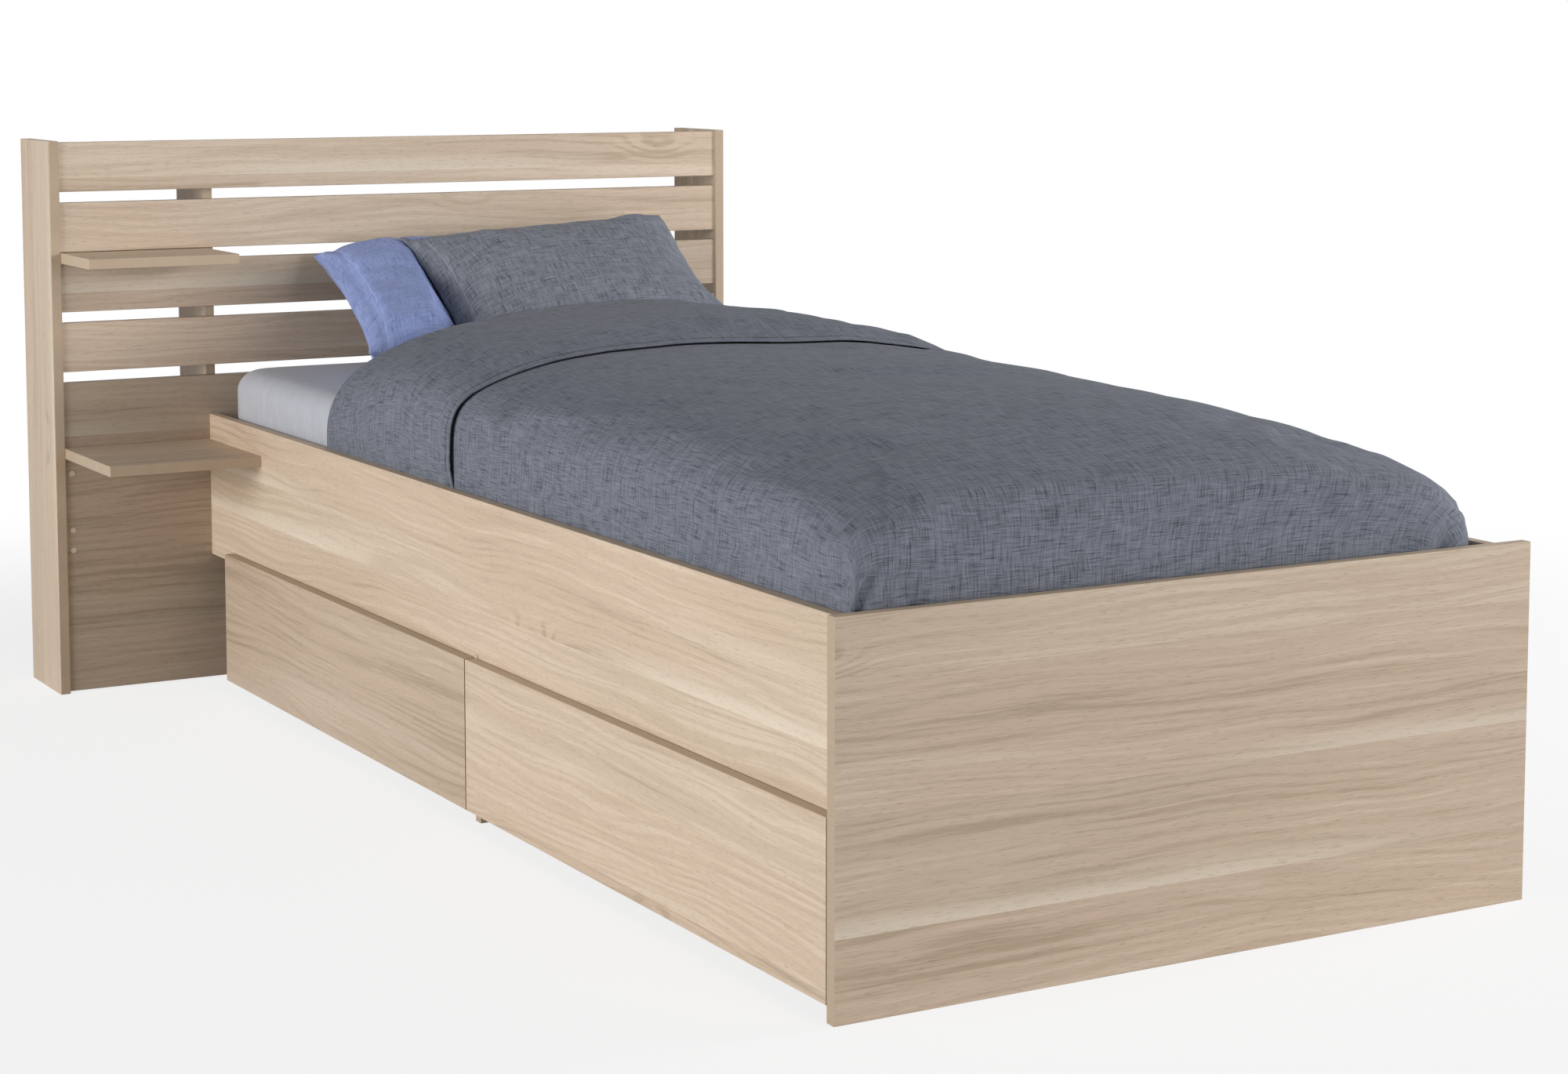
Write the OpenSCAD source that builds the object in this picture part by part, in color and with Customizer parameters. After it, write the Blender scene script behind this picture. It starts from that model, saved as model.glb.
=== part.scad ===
// Single storage bed: a low frame of panels, a wide slatted headboard that carries
// two side shelves, two castor drawers under the left rail, and the bedding.
// The bed is seen from its foot: +X to the right, +Y to the head, +Z up.
// The origin is on the floor, in the middle of the whole outline.

/* [Boards] */
// Thickness of every panel board
board_t = 16; // [12:1:22]
// Radius of the eased long edges
edge_r = 1.2; // [0.5:0.1:2.5]

/* [Frame] */
// Clear width between the side rails
inner_w = 898; // [798:1:998]
// Clear length between the foot panel and the headboard
inner_l = 2004; // [1904:1:2104]
// Height of the foot panel
foot_h = 440; // [420:1:480]
// Height of a side rail board
rail_h = 230; // [200:1:240]
// Distance from the foot panel's top down to the rails' top
rail_drop = 5; // [0:1:12]
// Distance from the foot panel's left end in to the left rail's outer face
rail_recess = 18; // [17:0.5:30]
// Distance from the foot panel's right end in to the right rail's outer face
right_recess = 22; // [17:0.5:34]
// Width of a slat cleat
cleat_w = 30; // [24:1:40]
// Height of a slat cleat
cleat_h = 25; // [20:1:34]
// Distance from the rails' top down to the top of the bed slats
slat_bed_drop = 105; // [90:1:120]
// Number of bed slats
bed_slat_n = 14; // [10:1:16]
// Width of a bed slat
bed_slat_w = 70; // [50:1:90]
// Thickness of a bed slat
bed_slat_t = 12; // [10:1:16]

/* [Headboard] */
// Overall height of the headboard
head_h = 880; // [860:1:1000]
// Distance from the foot panel's left end out to the headboard's left face
head_left = 238; // [200:1:300]
// Depth of a headboard side panel
head_d = 157; // [120:1:220]
// Distance that the side panels stand in front of the slats
head_reveal = 5; // [2:1:10]
// Distance that the side panels stand above the top slat
head_cap = 2; // [1:1:8]
// Number of headboard slats
head_slat_n = 4; // [4:1:4]
// Height of a headboard slat
head_slat_h = 78; // [60:1:84]
// Gap between headboard slats
head_slat_gap = 17; // [16.5:0.5:22]
// Distance from the top slat's upper edge down to the top board
top_board_drop = 12; // [6:1:30]
// Gap under the headboard's lower panel
panel_lift = 3; // [2:1:10]

/* [Shelves] */
// Distance that the upper shelf stands out in front of the slats
upper_shelf_d = 155; // [120:1:200]
// Depth of the lower shelf
lower_shelf_d = 240; // [180:1:280]
// Distance from the rails' top down to the lower shelf's top
lower_shelf_drop = 41; // [20:1:90]
// Diameter of a shelf pin
shelf_pin_d = 5; // [4:0.5:6]

/* [Drawers] */
// Width of a drawer front
front_w = 943; // [850:1:950]
// Height of the rails' lower part that a drawer front hides
front_overlap = 17.5; // [5:0.5:30]
// Gap between the drawer fronts and the floor
front_lift = 18.5; // [15:0.5:25]
// Gap between the two drawer fronts
front_joint = 3; // [2:0.5:5]
// Gap between the foot panel and the first drawer front
front_end_gap = 2; // [1.5:0.5:5]
// Depth of a drawer from the front's face to the back
drawer_d = 680; // [500:1:800]
// Thickness of the drawer sides and back
drawer_board_t = 12; // [10:1:16]
// Height of the drawer sides
drawer_side_h = 160; // [120:1:164]
// Height of the drawer sides' lower edge above the floor
drawer_side_z = 32; // [28:1:36]
// Distance from a front's end in to the drawer side
drawer_side_in = 20; // [18:1:30]
// Thickness of the drawer bottom
drawer_bottom_t = 8; // [6:1:10]
// Depth of the groove that holds the drawer bottom
groove_d = 5; // [3:0.5:6]
// Width of the stop strip behind the joint of the fronts
stop_w = 10; // [8:1:16]

/* [Castors] */
// Diameter of a castor wheel
wheel_d = 36; // [30:1:38]
// Width of a castor wheel
wheel_w = 16; // [12:1:20]
// Diameter of a castor axle
axle_d = 4; // [3:0.5:6]
// Thickness of the castor bracket's sheet
bracket_t = 2; // [1.5:0.5:2.5]
// Length of the castor bracket along the travel
bracket_l = 40; // [36:1:60]
// Distance from the drawer's front face to the front castors
castor_front_x = 70; // [50:1:120]
// Distance from the drawer's back to the rear castors
castor_back_x = 60; // [40:1:120]
// Distance from a drawer side in to the castors
castor_side_y = 60; // [40:1:120]

/* [Fittings] */
// Diameter of a cam fitting
cam_d = 15; // [12:1:18]
// Depth of a cam fitting
cam_t = 12; // [9:0.5:12.5]
// Distance from a rail's end to the cam centre
cam_in = 34; // [24:1:40]
// Diameter of a cam bolt
cam_bolt_d = 6; // [5:0.5:8]
// Diameter of a cover cap
cap_d = 9; // [6:1:14]
// Diameter of a shelf screw
screw_d = 5; // [4:0.5:7]
// Length of a shelf screw
screw_l = 50; // [40:1:60]

/* [Bedding] */
// Height of the mattress
mattress_h = 178; // [140:1:220]
// Gap between the mattress and the boards around it
mattress_gap = 8; // [6:0.5:14]
// Radius of the mattress's upright corners
mattress_corner_r = 80; // [60:1:90]
// Radius of the mattress's long edges
mattress_edge_r = 32; // [18:1:36]
// Thickness of the fitted sheet
sheet_t = 1.6; // [1.2:0.2:3]
// Length of the duvet on the bed
duvet_l = 1524; // [1300:1:1530]
// Length of the turned-down part of the duvet
turn_l = 470; // [300:1:560]
// Height of the duvet's crown above the sheet at its turned-down part
duvet_crown = 97; // [80:1:120]
// Height of the duvet's crown above the sheet at the foot
duvet_foot_crown = 72; // [60:1:100]
// Thickness that the turned-down part adds
turn_t = 20; // [12:1:36]
// Depth that the duvet is tucked in behind the rails
duvet_tuck = 10; // [6:1:30]
// Width of a pillow
pillow_w = 490; // [400:1:560]
// Thickness of a pillow
pillow_t = 130; // [100:1:150]
// Length of the blue pillow over the bed
blue_l = 425; // [380:1:440]
// Length of the grey pillow over the bed
grey_l = 353; // [320:1:370]
// Height of the blue pillow's upper seam above the sheet
blue_rise = 172; // [120:1:200]
// Height of the grey pillow's upper seam above the sheet
grey_rise = 226; // [190:1:245]
// Thickness of the blue pillow where the grey one lies on it
pressed_t = 32; // [24:1:40]

/* [Hidden] */
$fn = 48;

// Clearances: rest for pieces that lie on each other, run for turning pieces,
// fit for pins and dowels in their holes, soft for bedding.
rest = 0.3;
run = 0.08;
fit = 0.05;
soft = 0.4;

oak = "#c9b797";
oak_edge = "#b5a284";
metal = "#a9abad";
plastic = "#d8cdb8";
duvet_cloth = "#667080";
sheet_cloth = "#a4a9b2";
blue_cloth = "#6a7fc1";

// The frame, from the left end of the foot panel and from its outer face
foot_w = inner_w + 2 * board_t + rail_recess + right_recess;
whole_w = head_left + foot_w;
whole_l = board_t + inner_l + head_d - head_reveal;
foot_x0 = -whole_w / 2 + head_left;
foot_x1 = foot_x0 + foot_w;
foot_y0 = -whole_l / 2;
foot_y1 = foot_y0 + board_t;
panel_y0 = foot_y1 + inner_l;
panel_y1 = panel_y0 + board_t;
rail_x0 = foot_x0 + rail_recess;
rail_x1 = rail_x0 + board_t;
rail_x2 = rail_x1 + inner_w;
rail_x3 = rail_x2 + board_t;
rail_z1 = foot_h - rail_drop;
rail_z0 = rail_z1 - rail_h;
slat_top_z = rail_z1 - slat_bed_drop;
cleat_z1 = slat_top_z - bed_slat_t;
cleat_end = 20;
slat_end_gap = 2;

// The headboard, whose right side panel stands against the right rail's outer face
head_x0 = -whole_w / 2;
head_in0 = head_x0 + board_t;
head_in1 = rail_x3;
head_y0 = panel_y0 - head_reveal;
head_y1 = head_y0 + head_d;
head_slat_pitch = head_slat_h + head_slat_gap;
head_slat_z1 = head_h - head_cap;
panel_z1 = head_slat_z1 - head_slat_n * head_slat_pitch;
top_board_z1 = head_slat_z1 - top_board_drop;
inner_back_y = head_y1 - head_reveal;

// The shelves: the upper one lies on the third slat and passes through the gap above it
upper_shelf_z0 = head_slat_z1 - 2 * head_slat_pitch;
upper_shelf_y0 = panel_y0 - upper_shelf_d;
lower_shelf_y0 = panel_y0 - lower_shelf_d;
lower_shelf_z = rail_z1 - lower_shelf_drop;
lower_shelf_z0 = lower_shelf_z - board_t;
shelf_x0 = head_in0;
shelf_x1 = rail_x0;
pin_in = 8;
pin_out = 10;
pin_front_in = 24;
pin_back_in = 22;
pin_z = upper_shelf_z0 - shelf_pin_d / 2;

// The screws of the lower shelf and the caps at the lower panel's left end
lower_shelf_screw_z = lower_shelf_z - board_t / 2;
screw_grip = screw_l - board_t;
screw_tip_gap = 0.5;
screw_head_d = 2 * screw_d;
screw_head_t = 2;
screw_key_d = 3;
screw_key_depth = 1.5;
screw_in = 45;
cap_stem_d = 5;
cap_stem_l = 7;
cap_t = 1;
cap_edge = 11;
cap_zs = [230, 262, 353];

// The cams in the rails and the bolts that reach them
cam_bolt_depth = 11;
cam_z_in = 55;
cam_slot_w = 1.2;
cam_slot_depth = 3;

// The drawers
drawer_y0 = [foot_y1 + front_end_gap, foot_y1 + front_end_gap + front_w + front_joint];
joint_y = drawer_y0[1] - front_joint / 2;
front_x1 = foot_x0 + board_t;
front_h = rail_z0 + front_overlap - front_lift;
drawer_back_x = foot_x0 + drawer_d;
wheel_play = 5;
drawer_bottom_z0 = wheel_d + wheel_play + bracket_t;
stop_rise = 4;
groove_play = 0.2;

// The castors
wheel_r = wheel_d / 2;
cheek_gap = wheel_w + 2;
bracket_w = cheek_gap + 2 * bracket_t;
axle_head_d = axle_d + 3;
axle_head_t = 1;
hub_wall = 3;
tyre_wall = 5;
tread_edge = 1.5;
tread_drop = 1.7;
tyre_inset = 0.8;
web_slope = 1;

// The mattress and the bedding
mattress_x0 = rail_x1 + mattress_gap;
mattress_x1 = rail_x2 - mattress_gap;
mattress_y0 = foot_y1 + mattress_gap;
mattress_y1 = panel_y0 - mattress_gap;
mattress_z0 = slat_top_z + rest;
mattress_z1 = mattress_z0 + mattress_h;
bed_mid_x = (mattress_x0 + mattress_x1) / 2;

// A board whose four edges along one axis are eased: axis 0 is X, 1 is Y, 2 is Z
module board(low, high, axis) {
    size = high - low;
    a = axis == 0 ? size[1] : size[0];
    b = axis == 2 ? size[1] : size[2];
    translate(low)
        if (axis == 0)
            rotate([90, 0, 90]) linear_extrude(size[0]) eased(a, b);
        else if (axis == 1)
            translate([0, size[1], 0]) rotate([90, 0, 0]) linear_extrude(size[1]) eased(a, b);
        else
            linear_extrude(size[2]) eased(a, b);
}

module eased(a, b) {
    translate([edge_r, 0]) square([a - 2 * edge_r, b]);
    translate([0, edge_r]) square([a, b - 2 * edge_r]);
    for (x = [edge_r, a - edge_r], y = [edge_r, b - edge_r])
        translate([x, y]) circle(edge_r, $fn = 24);
}

// A round bar from one point along an axis
module bar_x(p, d, l) translate(p) rotate([0, 90, 0]) cylinder(d = d, h = l);
module bar_y(p, d, l) translate(p) rotate([-90, 0, 0]) cylinder(d = d, h = l);

// Frame

module foot_panel()
    color(oak)
        difference() {
            board([foot_x0, foot_y0, 0], [foot_x1, foot_y1, foot_h], 0);
            for (p = cam_bolt_points())
                if (p[1] < 0) bar_y([p[0], foot_y1 - cam_bolt_depth, p[2]], cam_bolt_d + 2 * fit,
                                    cam_bolt_depth + 1);
        }

module side_rail(x0, inner_face)
    color(oak)
        difference() {
            board([x0, foot_y1, rail_z0], [x0 + board_t, panel_y0, rail_z1], 1);
            for (y = cam_ys(), z = cam_zs())
                translate([inner_face, y, z]) rotate([0, inner_face > x0 ? -90 : 90, 0])
                    translate([0, 0, -1]) cylinder(d = cam_d + 2 * fit, h = cam_t + 1 + fit);
            for (y = [foot_y1 - 1, panel_y0 - cam_in], z = cam_zs())
                bar_y([x0 + board_t / 2, y, z], cam_bolt_d + 2 * fit, cam_in + 1);
            if (x0 < 0)
                for (y = lower_shelf_screw_ys())
                    bar_x([x0 - 1, y, lower_shelf_screw_z], screw_d + 2 * fit, board_t + 2);
        }

module side_rail_left() side_rail(rail_x0, rail_x1);
module side_rail_right() side_rail(rail_x2, rail_x2);

function cam_ys() = [foot_y1 + cam_in, panel_y0 - cam_in];
function cam_zs() = [rail_z0 + cam_z_in, rail_z1 - cam_z_in];
function cam_bolt_points() = [
    for (x = [rail_x0 + board_t / 2, rail_x2 + board_t / 2], z = cam_zs(), y = cam_ys()) [x, y, z]
];

// Cam discs with their cross slots, seated in the rails' inner faces
module rail_cams()
    color(metal)
        for (y = cam_ys(), z = cam_zs()) {
            translate([rail_x1, y, z]) rotate([0, -90, 0]) cam();
            translate([rail_x2, y, z]) rotate([0, 90, 0]) cam();
        }

module cam()
    difference() {
        cylinder(d = cam_d, h = cam_t);
        for (turn = [0, 90])
            rotate(turn) translate([-cam_d / 4, -cam_slot_w / 2, -1])
                cube([cam_d / 2, cam_slot_w, cam_slot_depth + 1]);
    }

// Bolts that stand in the end panels and reach to the cams
module rail_cam_bolts()
    color(metal)
        for (p = cam_bolt_points())
            if (p[1] < 0) cam_bolt([p[0], foot_y1 - cam_bolt_depth, p[2]], 1);
            else cam_bolt([p[0], panel_y0 + cam_bolt_depth, p[2]], -1);

module cam_bolt(p, way)
    translate(p) rotate([way * -90, 0, 0])
        cylinder(d = cam_bolt_d, h = cam_bolt_depth + cam_in - cam_d / 2 - rest);

module slat_cleat(x0)
    color(oak_edge)
        translate([x0, foot_y1 + cleat_end, cleat_z1 - cleat_h])
            difference() {
                cube([cleat_w, inner_l - 2 * cleat_end, cleat_h]);
                translate([-1, joint_y - foot_y1 - cleat_end - board_t / 2, -1])
                    cube([cleat_w + 2, board_t, cleat_h + 2]);
            }

module slat_cleat_left() slat_cleat(rail_x1);
module slat_cleat_right() slat_cleat(rail_x2 - cleat_w);

// Loose slats across the cleats
module bed_slats()
    color(oak_edge) {
        first = foot_y1 + cleat_end;
        last = panel_y0 - cleat_end - bed_slat_w;
        for (i = [0 : bed_slat_n - 1])
            translate([rail_x1 + slat_end_gap, first + (last - first) * i / (bed_slat_n - 1), cleat_z1])
                cube([inner_w - 2 * slat_end_gap, bed_slat_w, bed_slat_t]);
    }

// Upright board across the bed, between the drawers and under the middle slats
module centre_divider()
    color(oak)
        translate([0, joint_y + board_t / 2, 0]) rotate([90, 0, 0]) linear_extrude(board_t)
            polygon([[rail_x0, 0], [rail_x2, 0], [rail_x2, cleat_z1], [rail_x1, cleat_z1],
                     [rail_x1, rail_z0], [rail_x0, rail_z0]]);

// Strip that both drawer fronts close against
module drawer_stop()
    color(plastic)
        translate([front_x1 + rest, joint_y - stop_w / 2, front_lift])
            cube([rail_x0 - front_x1 - rest, stop_w, front_h + stop_rise]);

// Headboard

module headboard_side(x0, inner_face)
    color(oak)
        difference() {
            board([x0, head_y0, 0], [x0 + board_t, head_y1, head_h], 2);
            if (inner_face > x0)
                for (y = pin_ys())
                    bar_x([inner_face - pin_in, y, pin_z], shelf_pin_d + 2 * fit, pin_in + 1);
        }

module headboard_side_left() headboard_side(head_x0, head_in0);
module headboard_side_right() headboard_side(head_in1, head_in1);

module headboard_slat(i)
    color(oak)
        board([head_in0, panel_y0, head_slat_z1 - head_slat_h - i * head_slat_pitch],
              [head_in1, panel_y1, head_slat_z1 - i * head_slat_pitch], 0);

module headboard_slat_1() headboard_slat(0);
module headboard_slat_2() headboard_slat(1);
module headboard_slat_3() headboard_slat(2);
module headboard_slat_4() headboard_slat(3);

module headboard_lower_panel()
    color(oak)
        difference() {
            board([head_in0, panel_y0, panel_lift], [head_in1, panel_y1, panel_z1], 0);
            for (p = cam_bolt_points())
                if (p[1] > 0) bar_y([p[0], panel_y0 - 1, p[2]], cam_bolt_d + 2 * fit,
                                    cam_bolt_depth + 1);
            for (x = lower_shelf_screw_xs())
                bar_y([x, panel_y0 - 1, lower_shelf_screw_z], screw_d + 2 * fit, board_t + 2);
            for (p = cap_points())
                bar_y([p[0], panel_y0 - 1, p[1]], cap_stem_d + 2 * fit, cap_stem_l + 1);
        }

// Upright board behind the slats, in line with the left rail
module headboard_upright()
    color(oak)
        difference() {
            board([rail_x0, panel_y1, 0], [rail_x1, inner_back_y, top_board_z1 - board_t], 2);
            for (y = pin_ys())
                bar_x([rail_x0 - 1, y, pin_z], shelf_pin_d + 2 * fit, pin_in + 1);
        }

module headboard_top_board()
    color(oak)
        board([head_in0, panel_y1, top_board_z1 - board_t], [head_in1, inner_back_y, top_board_z1], 0);

// Shelves

module upper_shelf()
    color(oak)
        board([shelf_x0, upper_shelf_y0, upper_shelf_z0],
              [shelf_x1, inner_back_y, upper_shelf_z0 + board_t], 0);

function pin_ys() = [panel_y1 + pin_front_in, inner_back_y - pin_back_in];

module upper_shelf_pins()
    color(metal)
        for (y = pin_ys()) {
            bar_x([shelf_x0 - pin_in + fit, y, pin_z], shelf_pin_d, pin_in + pin_out);
            bar_x([shelf_x1 - pin_out, y, pin_z], shelf_pin_d, pin_in + pin_out - fit);
        }

module lower_shelf()
    color(oak)
        difference() {
            board([shelf_x0, lower_shelf_y0, lower_shelf_z0], [shelf_x1, panel_y0, lower_shelf_z], 0);
            for (x = lower_shelf_screw_xs())
                bar_y([x, panel_y0 - screw_grip, lower_shelf_screw_z], screw_d + 2 * fit, screw_grip + 1);
            for (y = lower_shelf_screw_ys())
                bar_x([shelf_x1 - screw_grip, y, lower_shelf_screw_z], screw_d + 2 * fit, screw_grip + 1);
        }

function lower_shelf_screw_xs() = [shelf_x0 + screw_in, shelf_x1 - screw_in];
function lower_shelf_screw_ys() = [lower_shelf_y0 + screw_in, panel_y0 - 2 * screw_in];

// Screws through the lower panel and through the left rail into the lower shelf
module lower_shelf_screws()
    color(metal) {
        for (x = lower_shelf_screw_xs())
            translate([x, panel_y1, lower_shelf_screw_z]) rotate([90, 0, 0]) shelf_screw();
        for (y = lower_shelf_screw_ys())
            translate([rail_x1, y, lower_shelf_screw_z]) rotate([0, -90, 0]) shelf_screw();
    }

module shelf_screw()
    difference() {
        union() {
            cylinder(d = screw_d, h = screw_l - screw_tip_gap);
            translate([0, 0, -screw_head_t]) cylinder(d = screw_head_d, h = screw_head_t);
        }
        translate([0, 0, -screw_head_t - 1]) cylinder(d = screw_key_d, h = screw_key_depth + 1, $fn = 6);
    }

// Small caps over the screw holes at the lower panel's left end
function cap_points() = [for (z = cap_zs) [head_in0 + cap_edge, z]];

module cover_caps()
    color(plastic)
        for (p = cap_points())
            translate([p[0], panel_y0, p[1]]) rotate([90, 0, 0]) {
                translate([0, 0, -cap_stem_l + fit]) cylinder(d = cap_stem_d, h = cap_stem_l - fit);
                cylinder(d = cap_d, h = cap_t);
            }

// Drawers

module drawer_front(k)
    color(oak)
        difference() {
            board([foot_x0, drawer_y0[k], front_lift],
                  [front_x1, drawer_y0[k] + front_w, front_lift + front_h], 1);
            drawer_groove(k);
        }

function side_y(k, s) = s == 0 ? drawer_y0[k] + drawer_side_in
                               : drawer_y0[k] + front_w - drawer_side_in - drawer_board_t;

// The space that the bottom board needs in the boards around it
module drawer_groove(k)
    translate([front_x1 - groove_d, side_y(k, 0) + drawer_board_t - groove_d,
               drawer_bottom_z0 - groove_play])
        cube([drawer_back_x - drawer_board_t - front_x1 + 2 * groove_d,
              side_y(k, 1) - side_y(k, 0) - drawer_board_t + 2 * groove_d,
              drawer_bottom_t + 2 * groove_play]);

module drawer_sides(k)
    color(oak)
        difference() {
            for (s = [0, 1])
                board([front_x1, side_y(k, s), drawer_side_z],
                      [drawer_back_x, side_y(k, s) + drawer_board_t, drawer_side_z + drawer_side_h], 0);
            drawer_groove(k);
        }

module drawer_back(k)
    color(oak)
        difference() {
            board([drawer_back_x - drawer_board_t, side_y(k, 0) + drawer_board_t, drawer_side_z],
                  [drawer_back_x, side_y(k, 1), drawer_side_z + drawer_side_h], 1);
            drawer_groove(k);
        }

module drawer_bottom(k)
    color(oak_edge)
        translate([front_x1 - groove_d + groove_play,
                   side_y(k, 0) + drawer_board_t - groove_d + groove_play, drawer_bottom_z0])
            cube([drawer_back_x - drawer_board_t - front_x1 + 2 * (groove_d - groove_play),
                  side_y(k, 1) - side_y(k, 0) - drawer_board_t + 2 * (groove_d - groove_play),
                  drawer_bottom_t]);

// Wheel centres of a drawer: front pair, then rear pair
function castor_points(k) = [
    for (x = [foot_x0 + castor_front_x, drawer_back_x - castor_back_x],
         y = [side_y(k, 0) + drawer_board_t + castor_side_y, side_y(k, 1) - castor_side_y])
        [x, y, wheel_r]
];

// Folded sheet bracket: a plate under the drawer bottom and two cheeks for the axle
module castor_bracket() {
    top = drawer_bottom_z0 - wheel_r;
    translate([-bracket_l / 2, -bracket_w / 2, top - bracket_t]) cube([bracket_l, bracket_w, bracket_t]);
    for (y = [-bracket_w / 2, bracket_w / 2 - bracket_t])
        translate([0, y + bracket_t, 0]) rotate([90, 0, 0]) linear_extrude(bracket_t)
            difference() {
                union() {
                    polygon([[-bracket_l / 2, top - bracket_t], [bracket_l / 2, top - bracket_t],
                             [axle_head_d, 0], [-axle_head_d, 0]]);
                    circle(axle_head_d);
                }
                circle(d = axle_d + 2 * fit);
            }
}

module drawer_castors(k)
    color(metal)
        for (p = castor_points(k)) translate(p) castor_bracket();

// Axle pins with a head at each end
module drawer_axles(k)
    color(metal)
        for (p = castor_points(k)) {
            bar_y([p[0], p[1] - bracket_w / 2 - axle_head_t, p[2]], axle_d, bracket_w + 2 * axle_head_t);
            for (y = [p[1] - bracket_w / 2 - axle_head_t, p[1] + bracket_w / 2])
                bar_y([p[0], y, p[2]], axle_head_d, axle_head_t);
        }

// Wheel with a crowned tread, a dished web and a hub, bored for its axle
module castor_wheel(k, i)
    color("#4a4a4c")
        translate(castor_points(k)[i]) rotate([90, 0, 0])
            rotate_extrude()
                polygon(concat(wheel_side(-1), reversed(wheel_side(1))));

// Half of a wheel's section: way is -1 for its near side and 1 for its far side
function wheel_side(way) =
    let (face = way * wheel_w / 2, web = face / 2, tyre = face - way * tyre_inset,
         hub_r = axle_d / 2 + hub_wall)
        [[axle_d / 2 + run, face], [hub_r, face], [hub_r + web_slope, web],
         [wheel_r - tyre_wall - web_slope, web], [wheel_r - tyre_wall, tyre],
         [wheel_r - tread_edge, tyre], [wheel_r, tyre - way * tread_drop]];

module drawer_foot_front() drawer_front(0);
module drawer_foot_sides() drawer_sides(0);
module drawer_foot_back() drawer_back(0);
module drawer_foot_bottom() drawer_bottom(0);
module drawer_foot_castors() drawer_castors(0);
module drawer_foot_axles() drawer_axles(0);
module drawer_foot_wheel_1() castor_wheel(0, 0);
module drawer_foot_wheel_2() castor_wheel(0, 1);
module drawer_foot_wheel_3() castor_wheel(0, 2);
module drawer_foot_wheel_4() castor_wheel(0, 3);
module drawer_head_front() drawer_front(1);
module drawer_head_sides() drawer_sides(1);
module drawer_head_back() drawer_back(1);
module drawer_head_bottom() drawer_bottom(1);
module drawer_head_castors() drawer_castors(1);
module drawer_head_axles() drawer_axles(1);
module drawer_head_wheel_1() castor_wheel(1, 0);
module drawer_head_wheel_2() castor_wheel(1, 1);
module drawer_head_wheel_3() castor_wheel(1, 2);
module drawer_head_wheel_4() castor_wheel(1, 3);

// Bedding

// A closed skin over rings of equally many points, from the first ring to the last.
// A folded end is a flat slit: it is closed from side to side instead of by one face.
module skin(rings, folded = false) {
    n = len(rings[0]);
    m = len(rings);
    points = [for (ring = rings) each ring];
    sides = [
        for (j = [0 : m - 2], i = [0 : n - 1])
            let (a = j * n + i, b = j * n + (i + 1) % n)
                each [[a, a + n, b], [b, a + n, b + n]]
    ];
    slit = [
        for (i = [0 : n / 2 - 2])
            let (a = n - 1 - i)
                each [[i, i + 1, a], [i + 1, a - 1, a]]
    ];
    first = folded ? slit : [[for (i = [0 : n - 1]) i]];
    last = [for (face = first) [for (i = reversed(face)) (m - 1) * n + i]];
    polyhedron(points, concat(sides, first, last));
}

// The outline of the mattress at one height, drawn in by a rounded edge and grown by g
corner_step = 18;
edge_step = 30;
function outline(g, inset, z) = [
    for (c = [0 : 3], a = [0 : corner_step : 90])
        let (r = mattress_corner_r + g - inset,
             x = c == 1 || c == 2 ? mattress_x0 + mattress_corner_r : mattress_x1 - mattress_corner_r,
             y = c < 2 ? mattress_y1 - mattress_corner_r : mattress_y0 + mattress_corner_r)
            [x + r * cos(90 * c + a), y + r * sin(90 * c + a), z]
];

// The mattress's outlines around its upper edge, from the side up to the top
function upper_edge(g) = [
    for (a = [90 : -edge_step : 0])
        let (e = mattress_edge_r)
            outline(g, e * (1 - sin(a)), mattress_z1 + g - e * (1 - cos(a)))
];

function lower_edge(g) = [
    for (a = [0 : edge_step : 90])
        let (e = mattress_edge_r)
            outline(g, e * (1 - sin(a)), mattress_z0 - g + e * (1 - cos(a)))
];

function reversed(list) = [for (i = [len(list) - 1 : -1 : 0]) list[i]];

module mattress()
    color("white")
        skin(concat(lower_edge(0), upper_edge(0)));

// A thin cover over the mattress's top and sides, open below
sheet_z0 = mattress_z0 + mattress_edge_r;
sheet_top = mattress_z1 + soft + sheet_t;

module fitted_sheet()
    color(sheet_cloth) {
        inner = upper_edge(soft);
        outer = upper_edge(soft + sheet_t);
        skin(concat(reversed(inner), [outline(soft, 0, sheet_z0), outline(soft + sheet_t, 0, sheet_z0)],
                    outer));
    }

// The duvet is a domed top whose sides go straight down behind the rails. Its height
// falls steeply towards the left side and the foot and more gently towards the right,
// most of all near the foot.
duvet_x0 = rail_x1 + 2 * soft;
duvet_x1 = rail_x2 - 2 * soft;
duvet_y0 = foot_y1 + soft;
duvet_z0 = rail_z1 - duvet_tuck;
duvet_h = sheet_top + duvet_crown - rail_z1;
duvet_foot_h = sheet_top + duvet_foot_crown - rail_z1;
duvet_corner_r = mattress_corner_r + mattress_gap - 2 * soft;
shoulder_l = 450;
shoulder_angles = [0, 4, 9, 12, 15, 22, 30, 40, 52, 64, 77, 90];
steep = 1 / 3;
gentle_foot = 0.54;
gentle = 0.47;
corner_power = 4;
function shoulder(a, slope) = pow(sin(a), slope);

// Where two shoulders meet, the lower one leads
function both(a, b) = max(0, 1 - pow(pow(1 - a, corner_power) + pow(1 - b, corner_power), 1 / corner_power));

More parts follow.
